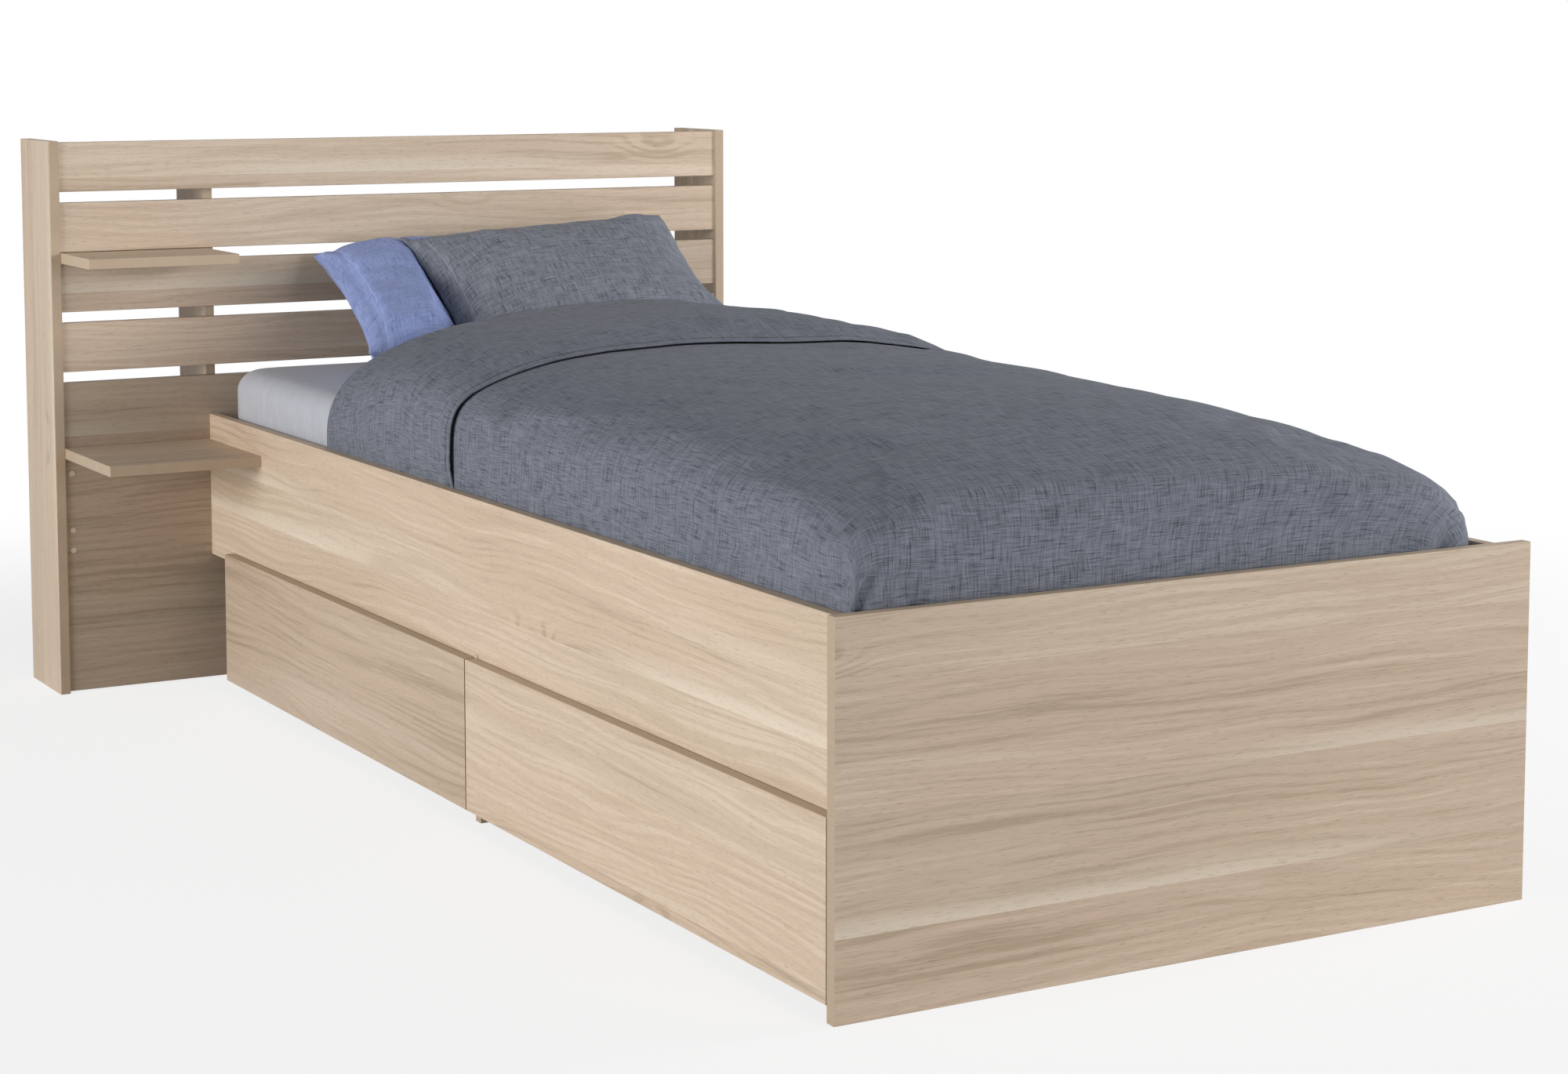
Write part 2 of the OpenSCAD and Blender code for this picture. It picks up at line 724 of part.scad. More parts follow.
// Places along the duvet: the distance from its foot, its height in the middle, and how
// far its foot shoulder has risen. They run over the foot, the middle, the turned-down
// part with its seam, and the round fold at its head edge.
seam_l = 18;
seam_share = 0.7;
fold_l = 55;
fold_drop = 75;
duvet_steps = 9;
turn_steps = 4;
turn_y = duvet_l - turn_l;
function duvet_height(v) = blend(duvet_foot_h, duvet_h, sin(90 * min(1, v / turn_y)));
function right_slope(v) = blend(gentle_foot, gentle, min(1, v / turn_y));
function duvet_sections() = concat(
    [for (a = shoulder_angles)
        let (v = shoulder_l * (1 - cos(a))) [v, duvet_height(v), shoulder(a, steep)]],
    [for (i = [1 : duvet_steps])
        let (v = blend(shoulder_l, turn_y, i / duvet_steps)) [v, duvet_height(v), 1]],
    [for (a = [25, 55, 90])
        [turn_y + seam_l * (1 - cos(a)), duvet_h + turn_t * seam_share * sin(a), 1]],
    [for (i = [1 : turn_steps])
        [blend(turn_y + seam_l, duvet_l - fold_l, i / turn_steps),
         duvet_h + turn_t * blend(seam_share, 1, i / turn_steps), 1]],
    [for (a = [20, 40, 58, 74, 86])
        [duvet_l - fold_l * (1 - sin(a)), duvet_h + turn_t - fold_drop * (1 - cos(a)), 1]]
);

// The right side is drawn in around the mattress's corner at the foot
function corner_in(v) =
    let (r = duvet_corner_r) v < r ? r - sqrt(r * r - (r - v) * (r - v)) : 0;

// Soft ripples that run slantwise over the top and fade at the edges, in degrees per mm
ripple = 2.5;
ripple_a = [0.95, 0.35];
ripple_b = [0.3, -0.6];
function ripple_at(p) = ripple * sin(ripple_a * p) * cos(ripple_b * p);

function duvet_ring(section) =
    let (v = section[0], h = section[1], x1 = duvet_x1 - corner_in(v),
         half = (x1 - duvet_x0) / 2, n = len(shoulder_angles),
         sweep = concat(shoulder_angles, [for (i = [n - 2 : -1 : 0]) 180 - shoulder_angles[i]]))
        concat(
            [[duvet_x0, duvet_y0 + v, duvet_z0]],
            [for (a = sweep)
                let (x = duvet_x0 + half - half * cos(a),
                     rise = both(section[2], shoulder(a, a > 90 ? right_slope(v) : steep)))
                    [x, duvet_y0 + v, rail_z1 + rise * (h + ripple_at([x, v]))]],
            [[x1, duvet_y0 + v, duvet_z0]]
        );

module duvet()
    color(duvet_cloth)
        difference() {
            skin([for (section = duvet_sections()) duvet_ring(section)]);
            skin(concat([outline(2 * soft + sheet_t, 0, duvet_z0 - 1)], upper_edge(2 * soft + sheet_t)));
        }

// A pillow as rings from its foot edge to its head edge. s runs from foot to head and
// t from left to right, both from -1 to 1. Its sides are drawn in between the corners.
pillow_step = 10;
pillow_draw = 0.07;
pillow_seam = 1;
pillow_foot_z = 50;
pillow_bend = 1.2;
pillow_sag = 1;
foot_round = 6;
side_round = 3;
edge_round = 0.7;
blue_head_round = 6;
grey_head_round = 2.2;
function soft_step(a) = let (c = min(1, max(0, a))) c * c * (3 - 2 * c);
function fullness(a, round) = pow(1 - pow(abs(a), round), edge_round);
function crown(s, t, head) = fullness(s, s > 0 ? head : foot_round) * fullness(t, side_round);
function blend(a, b, share) = a + (b - a) * share;

// The blue pillow leans on the headboard. The grey one lies on it and presses it down, to
// pressed_t at the least, and it swells up again beside the grey one.
blue_left = 90;
blue_turn = 33;
blue_back = 35;
blue_tilt = -8;
grey_right = 48;
grey_turn = 14;
grey_back = 115;
grey_tilt = 16;
blue_edge = 50;
press_rim = 1;
press_w = 50;
press_h = 80;
press_top = 400;
blue_x = bed_mid_x - blue_left;
blue_y1 = panel_y0 - blue_back;
grey_x = bed_mid_x + grey_right;
grey_y1 = panel_y0 - grey_back;

function pillow_x(x, turn, s, t) = x + turn * s + t * pillow_w / 2 * (1 - pillow_draw * (1 - s * s));
function pillow_y(y1, l, s, t) = y1 - l / 2 + s * l / 2 * (1 - pillow_draw * (1 - t * t));
function pillow_z(rise, tilt, s, t) =
    sheet_top + pillow_foot_z + (rise - pillow_foot_z) * pow((s + 1) / 2, pillow_bend) + tilt * t;

function grey_lift(x) = (pressed_t + soft) * soft_step((blue_x + pillow_w / 2 + blue_edge - x) / blue_edge);

function grey_under(s, t) =
    let (half = crown(s, t, grey_head_round) * pillow_t / 2, sag = 1 + pillow_sag * (1 - s) / 2)
        max(sheet_top + soft + grey_lift(pillow_x(grey_x, grey_turn, s, t)),
            pillow_z(grey_rise, grey_tilt, s, t) - half * sag - pillow_seam);

function grey_point(s, t, side) =
    [pillow_x(grey_x, grey_turn, s, t), pillow_y(grey_y1, grey_l, s, t),
     side < 0 ? grey_under(s, t)
              : pillow_z(grey_rise, grey_tilt, s, t) + pillow_seam
                + crown(s, t, grey_head_round) * pillow_t / 2];

function blue_point(s, t, side) =
    let (mid = pillow_z(blue_rise, blue_tilt, s, t),
         half = crown(s, t, blue_head_round) * pillow_t / 2,
         sag = 1 + pillow_sag * (1 - s) / 2)
        [pillow_x(blue_x, blue_turn, s, t), pillow_y(blue_y1, blue_l, s, t),
         side > 0 ? mid + half + pillow_seam : max(sheet_top + soft, mid - half * sag - pillow_seam)];

pillow_angles = [0 : pillow_step : 180];

// The space that the grey pillow takes: over its underside, a little clear of its edges,
// level towards the foot and sloping up and out on the other sides
pressed_z = sheet_top + soft + pressed_t;
press_z = sheet_top + press_top;
function press_point(b, a, out) =
    let (s = -cos(b), t = cos(a), p = grey_point(s, t, -1))
        [p[0] + press_rim * t + press_w * out, p[1] + press_rim * s,
         (b == 0 ? pressed_z : p[2] - soft) + press_h * abs(out)];

function press_ring(b) =
    let (low = concat([press_point(b, 0, 1)], [for (a = pillow_angles) press_point(b, a, 0)],
                      [press_point(b, 180, -1)]),
         right = low[0], left = low[len(low) - 1])
        concat([[left[0], left[1], press_z], [right[0], right[1], press_z]], low);

module grey_press()
    skin(concat(
        [[for (p = press_ring(0)) [p[0], grey_y1 - grey_l - press_w, p[2]]]],
        [for (b = pillow_angles) press_ring(b)],
        [[for (p = press_ring(180)) [p[0], grey_y1 + press_w, min(press_z, p[2] + press_h)]]]
    ));

module pillow_blue()
    color(blue_cloth)
        difference() {
            skin([for (b = pillow_angles) concat(
                [for (a = pillow_angles) blue_point(-cos(b), -cos(a), 1)],
                [for (a = pillow_angles) blue_point(-cos(b), cos(a), -1)])], folded = true);
            grey_press();
        }

module pillow_grey()
    color(duvet_cloth)
        skin([for (b = pillow_angles) concat(
            [for (a = pillow_angles) grey_point(-cos(b), -cos(a), 1)],
            [for (a = pillow_angles) grey_point(-cos(b), cos(a), -1)])], folded = true);

foot_panel();
side_rail_left();
side_rail_right();
slat_cleat_left();
slat_cleat_right();
bed_slats();
centre_divider();
drawer_stop();
rail_cams();
rail_cam_bolts();
headboard_side_left();
headboard_side_right();
headboard_slat_1();
headboard_slat_2();
headboard_slat_3();
headboard_slat_4();
headboard_lower_panel();
headboard_upright();
headboard_top_board();
upper_shelf();
upper_shelf_pins();
lower_shelf();
lower_shelf_screws();
cover_caps();
drawer_foot_front();
drawer_foot_sides();
drawer_foot_back();
drawer_foot_bottom();
drawer_foot_castors();
drawer_foot_axles();
drawer_foot_wheel_1();
drawer_foot_wheel_2();
drawer_foot_wheel_3();
drawer_foot_wheel_4();
drawer_head_front();
drawer_head_sides();
drawer_head_back();
drawer_head_bottom();
drawer_head_castors();
drawer_head_axles();
drawer_head_wheel_1();
drawer_head_wheel_2();
drawer_head_wheel_3();
drawer_head_wheel_4();
mattress();
fitted_sheet();
duvet();
pillow_blue();
pillow_grey();
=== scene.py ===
import functools
import math

import bmesh
import bpy
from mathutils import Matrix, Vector, noise
from mathutils.bvhtree import BVHTree


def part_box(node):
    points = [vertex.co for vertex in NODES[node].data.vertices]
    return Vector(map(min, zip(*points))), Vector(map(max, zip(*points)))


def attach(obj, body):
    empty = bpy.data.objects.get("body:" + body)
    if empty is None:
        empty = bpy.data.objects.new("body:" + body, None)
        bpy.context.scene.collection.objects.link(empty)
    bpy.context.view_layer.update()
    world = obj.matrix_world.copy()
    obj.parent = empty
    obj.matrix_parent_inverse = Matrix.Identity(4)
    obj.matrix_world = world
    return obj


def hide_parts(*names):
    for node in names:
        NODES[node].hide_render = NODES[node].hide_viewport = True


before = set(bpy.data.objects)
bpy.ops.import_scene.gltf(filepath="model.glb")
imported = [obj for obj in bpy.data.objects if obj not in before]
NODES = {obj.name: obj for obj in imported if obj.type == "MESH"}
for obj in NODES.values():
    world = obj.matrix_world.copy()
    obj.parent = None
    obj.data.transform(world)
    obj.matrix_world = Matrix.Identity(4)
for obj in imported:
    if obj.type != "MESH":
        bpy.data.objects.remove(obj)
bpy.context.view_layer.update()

# Places taken from the frame
RAIL_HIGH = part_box("side_rail_left")[1]
RIGHT_RAIL_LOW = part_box("side_rail_right")[0]
MATTRESS_LOW, MATTRESS_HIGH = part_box("mattress")
SHEET_LOW, SHEET_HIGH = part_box("fitted_sheet")
DUVET_LOW, DUVET_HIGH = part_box("duvet")
PANEL_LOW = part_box("headboard_lower_panel")[0]
RAIL_TOP = RAIL_HIGH.z
SHEET_TOP = SHEET_HIGH.z
BED_MIDDLE = (RAIL_HIGH.x + RIGHT_RAIL_LOW.x) / 2

# Camera, as solved from the photograph's straight edges
PHOTO_W, PHOTO_H = 2000, 1370
FOCAL_PX = 3880.1
CENTRE_PX = (994.8, 427.9)
CAMERA_AT = Vector((-1.9618, -3.7794, 1.0424))
HEADING = 0.5165
TILT = 0.09776


def photo_camera():
    data = bpy.data.cameras.new("photo_camera")
    data.sensor_fit = "HORIZONTAL"
    data.sensor_width = 36
    data.lens = FOCAL_PX / PHOTO_W * data.sensor_width
    data.shift_x = (PHOTO_W / 2 - CENTRE_PX[0]) / PHOTO_W
    data.shift_y = (CENTRE_PX[1] - PHOTO_H / 2) / PHOTO_W
    data.clip_end = 60
    camera = bpy.data.objects.new("photo_camera", data)
    camera.location = CAMERA_AT
    camera.rotation_euler = (math.radians(90) - TILT, 0, -HEADING)
    bpy.context.scene.collection.objects.link(camera)
    bpy.context.scene.camera = camera


# Shader maths


class Wire:
    """One value in a material. Sums and products that start with a wire add Math nodes."""

    def __init__(self, paint, socket):
        self.paint = paint
        self.socket = socket

    def math(self, operation, *others):
        values = dict(enumerate((self, *others)))
        return self.paint.node("ShaderNodeMath", values, operation=operation)

    def __add__(self, other):
        return self.math("ADD", other)

    def __sub__(self, other):
        return self.math("SUBTRACT", other)

    def __mul__(self, other):
        return self.math("MULTIPLY", other)

    def __truediv__(self, other):
        return self.math("DIVIDE", other)


class Paint:
    """A material with one Principled shader, built by short expressions."""

    def __init__(self, name):
        self.material = bpy.data.materials.new(name)
        self.material.use_nodes = True
        self.tree = self.material.node_tree
        self.tree.nodes.clear()
        self.shader = self.tree.nodes.new("ShaderNodeBsdfPrincipled")
        self.output = self.tree.nodes.new("ShaderNodeOutputMaterial")
        self.tree.links.new(self.shader.outputs[0], self.output.inputs["Surface"])

    def feed(self, socket, value):
        if isinstance(value, Wire):
            self.tree.links.new(value.socket, socket)
        else:
            socket.default_value = value

    def node(self, kind, values=None, out=0, **settings):
        made = self.tree.nodes.new(kind)
        for key, setting in settings.items():
            setattr(made, key, setting)
        for key, value in (values or {}).items():
            self.feed(made.inputs[key], value)
        return Wire(self, made.outputs[out])

    def put(self, **values):
        """Sets inputs of the Principled shader."""
        for key, value in values.items():
            self.feed(self.shader.inputs[key.replace("_", " ")], value)

    def place(self):
        point = self.node("ShaderNodeTexCoord", out="Object")
        return [self.node("ShaderNodeSeparateXYZ", {0: point}, out=axis) for axis in "XYZ"]

    def cloth_place(self):
        point = self.node("ShaderNodeUVMap", uv_map="cloth")
        return [self.node("ShaderNodeSeparateXYZ", {0: point}, out=axis) for axis in "XY"]

    def vector(self, x, y, z):
        return self.node("ShaderNodeCombineXYZ", {0: x, 1: y, 2: z})

    def noise(self, x, y, z=0.0, detail=2.0, rough=0.5, warp=0.0):
        """Noise at a point. The factor of a place in metres is its features per metre."""
        return self.node(
            "ShaderNodeTexNoise",
            {"Vector": self.vector(x, y, z), "Scale": 1.0, "Detail": detail,
             "Roughness": rough, "Distortion": warp},
        )

    def fit(self, value, low, high, to_low=0.0, to_high=1.0):
        """A smooth step from one value at low to another at high."""
        return self.node(
            "ShaderNodeMapRange",
            {"Value": value, "From Min": low, "From Max": high,
             "To Min": to_low, "To Max": to_high},
            interpolation_type="SMOOTHSTEP",
        )

    def mix(self, share, a, b, blend="MIX"):
        a, b = [(*colour, 1) if isinstance(colour, tuple) else colour for colour in (a, b)]
        return self.node(
            "ShaderNodeMix", {0: share, 6: a, 7: b}, out=2, data_type="RGBA", blend_type=blend,
        )

    def bump(self, height, strength, distance):
        return self.node(
            "ShaderNodeBump", {"Height": height, "Strength": strength, "Distance": distance}
        )


# Wood

OAK_LIGHT = (0.705, 0.578, 0.448)
OAK_MIDDLE = (0.605, 0.487, 0.362)
OAK_DARK = (0.470, 0.362, 0.258)
OAK_ROSE = (0.620, 0.480, 0.362)
OAK_SAP = (0.785, 0.690, 0.560)
OAK_KNOT = (0.260, 0.190, 0.125)
EDGE_BAND = ((0.450, 0.340, 0.235), (0.580, 0.455, 0.330))

# Width of a stave, and how far the print may shift along the grain from stave to stave
STAVE = 0.086
STAVE_SHIFT = 5.0


def oak_decor(name, along, across, seed, level):
    """Oak print of glued staves, with its grain along one axis and its staves side by side
    across another. Level makes a whole board a little lighter or darker: partly its own tone,
    partly painted light and shade for how the light falls where the board stands."""
    paint = Paint(name)
    axes = dict(zip("XYZ", paint.place()))
    thickness = ({"X", "Y", "Z"} - {along, across}).pop()
    depth = axes[thickness] * 3.0
    u = axes[along] + 3.7 * seed
    v = axes[across] + 0.613 * seed

    # Staves of uneven width: each has its own tone, which drifts along its length
    row = v / STAVE + paint.noise(0.0, v * 9.0, 3.0 + seed, detail=0) * 1.1
    stave = row.math("FLOOR")
    place = row - stave
    tone = paint.fit(paint.noise(u * 1.0, stave * 7.31, 1.7, detail=0), 0.28, 0.72)
    hue = paint.fit(paint.noise(u * 0.8, stave * 5.17, 9.1, detail=1), 0.35, 0.65)
    cut = paint.node("ShaderNodeTexWhiteNoise", {"W": stave + 7.9}, noise_dimensions="1D")
    u = u + cut * STAVE_SHIFT

    # Growth lines, and knots that push them aside
    cells = {"Vector": paint.vector(u * 2.3, v * 6.4, depth), "Scale": 1.0}
    knot = paint.node("ShaderNodeTexVoronoi", cells, feature="F1")
    chance = paint.node("ShaderNodeTexVoronoi", cells, out=1, feature="F1")
    chosen = paint.fit(paint.node("ShaderNodeSeparateXYZ", {0: chance}), 0.58, 0.62)
    swirl = paint.fit(knot, 0.22, 0.02) * chosen
    flow = v + paint.noise(u * 1.7, v * 4.0, depth, detail=2) * 0.070
    field = paint.noise(u * 0.9, flow * 9.0, depth, detail=2, rough=0.5)
    rings = ((flow * 62.0 + field * 9.0 + swirl * 2.2) * math.tau).math("SINE")
    rings = paint.fit(rings, -0.35, 1.0)

    # Finer and finer lines of the grain
    bands = paint.noise(u * 0.8, flow * 34.0, depth, detail=2, rough=0.55)
    streaks = paint.noise(u * 3.2, flow * 170.0, depth, detail=4, rough=0.62)
    fibres = paint.noise(u * 18.0, v * 640.0, depth, detail=2, rough=0.6)
    pores = paint.fit(paint.noise(u * 60.0, v * 860.0, depth, detail=1), 0.58, 0.72)

    share = (
        (tone - 0.5) * 0.34 + (bands - 0.5) * 0.80 + (streaks - 0.5) * 1.15
        + (fibres - 0.5) * 0.60 - (rings - 0.5) * (swirl * 0.26 + 0.17) - swirl * 0.16 + 0.5
    )
    middle = paint.mix(hue, OAK_MIDDLE, OAK_ROSE)
    colour = paint.mix(paint.fit(share, 0.5, 0.92), middle, OAK_LIGHT)
    colour = paint.mix(paint.fit(share, 0.5, 0.06), colour, OAK_DARK)
    sappy = paint.fit(paint.noise(u * 0.9, stave * 3.3, 5.0, detail=0), 0.50, 0.66)
    sap = sappy * paint.fit(place, 0.42, 0.02)
    colour = paint.mix(sap * 0.75, colour, OAK_SAP)
    colour = paint.mix(pores * 0.30, colour, OAK_KNOT)
    heart = paint.node("ShaderNodeTexVoronoi", cells, feature="F1", distance="MANHATTAN")
    colour = paint.mix(paint.fit(heart, 0.060, 0.012) * chosen * streaks * 1.5, colour, OAK_KNOT)

    # The narrow faces carry a plain edge band with the fibres alone
    normal = paint.node("ShaderNodeNewGeometry", out="Normal")
    facing = paint.node("ShaderNodeSeparateXYZ", {0: normal}, out=thickness).math("ABSOLUTE")
    colour = paint.mix(paint.fit(facing, 0.75, 0.55), colour, paint.mix(fibres, *EDGE_BAND))

    # Painted light and shade, with the board's own tone: the level darkens boards that stand in
    # shade and lightens those in the light
    colour = paint.mix(1.0, colour, (level, level, level), blend="MULTIPLY")

    relief = fibres * 0.6 - rings * 0.10 - pores * 0.8
    paint.put(
        Base_Color=colour,
        Roughness=paint.fit(streaks, 0.2, 0.8, 0.46, 0.60),
        Specular_IOR_Level=0.35,
        Normal=paint.bump(relief, 0.20, 0.0004),
    )
    return paint.material


def plain_pine(name, along):
    """Planed softwood for the hidden slats and battens."""
    paint = Paint(name)
    axes = dict(zip("XYZ", paint.place()))
    u = axes.pop(along)
    v, w = axes.values()
    field = paint.noise(u * 0.8, v * 14.0, w * 14.0, detail=2, warp=0.4)
    rings = paint.fit(((field * 22.0) * math.tau).math("SINE"), -0.4, 1.0)
    fibres = paint.noise(u * 12.0, v * 420.0, w * 420.0, detail=2)
    colour = paint.mix(rings * 0.35 + fibres * 0.35, (0.78, 0.64, 0.44), (0.62, 0.45, 0.27))
    knots = paint.node(
        "ShaderNodeTexVoronoi",
        {"Vector": paint.vector(u * 2.0, v * 9.0, w * 9.0), "Scale": 1.0},
    )
    colour = paint.mix(paint.fit(knots, 0.14, 0.05) * 0.8, colour, (0.26, 0.15, 0.08))
    paint.put(
        Base_Color=colour,
        Roughness=paint.fit(fibres, 0.2, 0.8, 0.55, 0.7),
        Normal=paint.bump(fibres + rings * 0.4, 0.25, 0.0004),
    )
    return paint.material


def faced_base(name):
    """Thin drawer base, faced on both sides."""
    paint = Paint(name)
    x, y = paint.place()[:2]
    grain = paint.noise(x * 3.0, y * 90.0, detail=3)
    fibres = paint.noise(x * 22.0, y * 700.0, detail=1)
    colour = paint.mix(grain * 0.7 + fibres * 0.3, (0.55, 0.455, 0.345), (0.69, 0.595, 0.47))
    paint.put(
        Base_Color=colour,
        Roughness=paint.fit(grain, 0.2, 0.8, 0.5, 0.62),
        Normal=paint.bump(fibres, 0.15, 0.0003),
    )
    return paint.material


# Metal and plastic


def zinc_plate(name):
    paint = Paint(name)
    x, y, z = paint.place()
    grain = paint.noise(x * 900.0, y * 60.0, z * 900.0, detail=2)
    cloud = paint.noise(x * 45.0, y * 45.0, z * 45.0, detail=3)
    paint.put(
        Base_Color=paint.mix(cloud, (0.50, 0.51, 0.53), (0.66, 0.67, 0.68)),
        Metallic=1.0,
        Roughness=paint.fit(grain * 0.5 + cloud * 0.5, 0.2, 0.8, 0.28, 0.46),
        Normal=paint.bump(grain, 0.08, 0.0002),
    )
    return paint.material


def moulded_plastic(name, dark, light, rough):
    paint = Paint(name)
    x, y, z = paint.place()
    cloud = paint.noise(x * 30.0, y * 30.0, z * 30.0, detail=2)
    grain = paint.noise(x * 1600.0, y * 1600.0, z * 1600.0, detail=1)
    paint.put(
        Base_Color=paint.mix(cloud, dark, light),
        Roughness=paint.fit(cloud, 0.2, 0.8, rough - 0.06, rough + 0.06),
        Normal=paint.bump(grain, 0.12, 0.0002),
    )
    return paint.material


# Cloth


def slub_linen(name, dark, light, seam, seam_at, seam_tone):
    """Plain weave of uneven yarns: long slubs run both ways over a fine thread pattern, and a
    stitched seam runs where one axis of the cloth map is seam_at. Seam_tone lightens it, or
    darkens it below 0."""
    paint = Paint(name)
    u, v = paint.cloth_place()
    warp = paint.noise(u * 760.0, v * 34.0, detail=2, rough=0.6)
    weft = paint.noise(u * 34.0, v * 760.0, 4.0, detail=2, rough=0.6)
    broad = (
        paint.noise(u * 190.0, v * 17.0, 7.0, detail=1)
        + paint.noise(u * 17.0, v * 190.0, 8.0, detail=1)
    )
    dashes = (
        paint.fit(paint.noise(u * 640.0, v * 30.0, 9.0, detail=1), 0.54, 0.68)
        + paint.fit(paint.noise(u * 30.0, v * 640.0, 13.0, detail=1), 0.54, 0.68)
    )
    cloud = paint.noise(u * 7.0, v * 7.0, detail=3)
    threads = ((u * 900.0 * math.tau).math("SINE") * (v * 900.0 * math.tau).math("SINE"))

    across, run = (u, v) if seam == "X" else (v, u)
    off = (across - seam_at).math("ABSOLUTE")
    line = paint.fit(off, 0.0022, 0.0006)
    stitches = line * paint.fit((run * 230.0 * math.tau).math("SINE"), -0.5, 0.3)
    pucker = paint.fit(off, 0.022, 0.002) * paint.noise(run * 75.0, across * 14.0, detail=1)

    share = (warp + weft) * 1.25 + broad * 0.40 + cloud * 0.14 - dashes * 0.40 - 0.99
    share = share + line * seam_tone - stitches * 0.10
    height = (warp + weft) * 0.8 + threads * 0.2 - dashes * 0.5 - line * 1.4 + pucker * 3.2
    paint.put(
        Base_Color=paint.mix(share, dark, light),
        Roughness=paint.fit(warp + weft, 0.6, 1.4, 0.84, 0.95),
        Sheen_Weight=0.06,
        Sheen_Roughness=0.5,
        Specular_IOR_Level=0.15,
        Normal=paint.bump(height, 0.40, 0.0006),
    )
    return paint.material


def crinkled_cotton(name):
    paint = Paint(name)
    u, v = paint.cloth_place()
    creases = paint.noise(u * 12.0, v * 58.0, detail=3, rough=0.55, warp=0.9)
    fine = paint.noise(u * 60.0, v * 130.0, detail=3, rough=0.6, warp=0.8)
    yarn = paint.noise(u * 800.0, v * 60.0, detail=1) + paint.noise(u * 60.0, v * 800.0, detail=1)
    # Painted shade and light: the colour follows the creases' height, darker in their hollows and
    # lighter on their crests
    tone = creases * 0.5 + fine * 0.3 + yarn * 0.1
    paint.put(
        Base_Color=paint.mix(tone, (0.45, 0.47, 0.52), (0.64, 0.66, 0.72)),
        Roughness=paint.fit(yarn, 0.6, 1.4, 0.78, 0.9),
        Sheen_Weight=0.15,
        Specular_IOR_Level=0.25,
        Normal=paint.bump(creases + fine * 0.35 + yarn * 0.05, 0.55, 0.004),
    )
    return paint.material


def mattress_ticking(name):
    paint = Paint(name)
    u, v = paint.cloth_place()
    waves = (u * 16.0 * math.tau).math("SINE") * (v * 16.0 * math.tau).math("SINE")
    diamond = waves.math("ABSOLUTE")
    knit = paint.noise(u * 700.0, v * 700.0, detail=1)
    # Painted shade and light: the ticking is darkest along the quilting lines, where its bump dips,
    # and lightest on the puffs between them
    paint.put(
        Base_Color=paint.mix(diamond * 0.6 + knit * 0.4, (0.74, 0.74, 0.73), (0.88, 0.88, 0.87)),
        Roughness=paint.fit(knit, 0.2, 0.8, 0.8, 0.92),
        Sheen_Weight=0.2,
        Normal=paint.bump(diamond.math("SQRT") + knit * 0.1, 0.6, 0.003),
    )
    return paint.material


# Finishing of new pieces


def piece(name, mesh, material, node):
    """A smooth piece of bedding that stands for one CAD node and rides on the frame."""
    data = bpy.data.meshes.new(name)
    mesh.to_mesh(data)
    mesh.free()
    made = bpy.data.objects.new(name, data)
    bpy.context.scene.collection.objects.link(made)
    data.materials.append(material)
    for face in data.polygons:
        face.use_smooth = True
    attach(made, "frame")
    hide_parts(node)
    return made


def thicken(made, thickness):
    """The modelled surface becomes the outer face of a cloth."""
    wall = made.modifiers.new("wall", "SOLIDIFY")
    wall.thickness = thickness
    wall.offset = -1


def subdivide_once(made):
    smooth = made.modifiers.new("smooth", "SUBSURF")
    smooth.levels = 1
    smooth.render_levels = 1


def spread(rows, columns, place):
    """A grid whose point at row r and column c is place(r, c), with a cloth map in metres
    from its first column and its last row."""
    mesh = bmesh.new()
    bmesh.ops.create_grid(mesh, x_segments=columns - 1, y_segments=rows - 1, size=0.5)
    cloth = mesh.loops.layers.uv.new("cloth")
    where = {}
    for vert in mesh.verts:
        column = round((vert.co.x + 0.5) * (columns - 1))
        row = round((vert.co.y + 0.5) * (rows - 1))
        where[vert] = (row, column)
    at = {key: Vector(place(*key)) for key in where.values()}
    middle_row, middle_column = rows // 2, columns // 2
    u_of, v_of = [0.0], [0.0]
    for column in range(1, columns):
        u_of.append(u_of[-1] + (at[middle_row, column] - at[middle_row, column - 1]).length)
    for row in range(1, rows):
        v_of.append(v_of[-1] + (at[row, middle_column] - at[row - 1, middle_column]).length)
    for vert, key in where.items():
        vert.co = at[key]
    for face in mesh.faces:
        for loop in face.loops:
            row, column = where[loop.vert]
            loop[cloth].uv = (u_of[column], v_of[row] - v_of[-1])
    return mesh


def ripples(point, size, height, seed):
    """Smooth noise in metres at a point, for folds of about one size."""
    return height * noise.noise(Vector(point) / size + Vector((seed, 1.7 * seed, 0)))


def soft_step(a):
    """0 up to 0, 1 from 1 on, and a smooth rise in between."""
    a = min(1.0, max(0.0, a))
    return a * a * (3 - 2 * a)


# Soft pieces settle with Blender's cloth simulation, all held points fixed

SETTLE_FRAMES = 20
CLOTH_QUALITY = 5
HELD = "held"


def settle(made, held, growth, pressure, cap):
    """The fabric grows by a share and is pressed outwards, and no point moves further than cap."""
    group = made.vertex_groups.new(name=HELD)
    group.add([i for i, vert in enumerate(made.data.vertices) if held(vert.co)], 1.0, "REPLACE")
    cloth = made.modifiers.new("settle", "CLOTH")
    cloth.settings.quality = CLOTH_QUALITY
    cloth.settings.shrink_min = -growth
    cloth.settings.use_pressure = pressure > 0
    cloth.settings.uniform_pressure_force = pressure
    cloth.settings.effector_weights.gravity = 0
    cloth.settings.vertex_group_mass = HELD
    cloth.collision_settings.use_collision = False
    cloth.point_cache.frame_start = 1
    cloth.point_cache.frame_end = SETTLE_FRAMES
    scene = bpy.context.scene
    for number in range(1, SETTLE_FRAMES + 1):
        scene.frame_set(number)
    settled = made.evaluated_get(bpy.context.evaluated_depsgraph_get()).data
    moves = [after.co - before.co for after, before in zip(settled.vertices, made.data.vertices)]
    made.modifiers.remove(cloth)
    made.vertex_groups.remove(group)
    for vert, move in zip(made.data.vertices, moves):
        vert.co += move * (cap / max(cap, move.length))
    made.data.update()
    scene.frame_set(1)


EVEN_PARTS = 3000


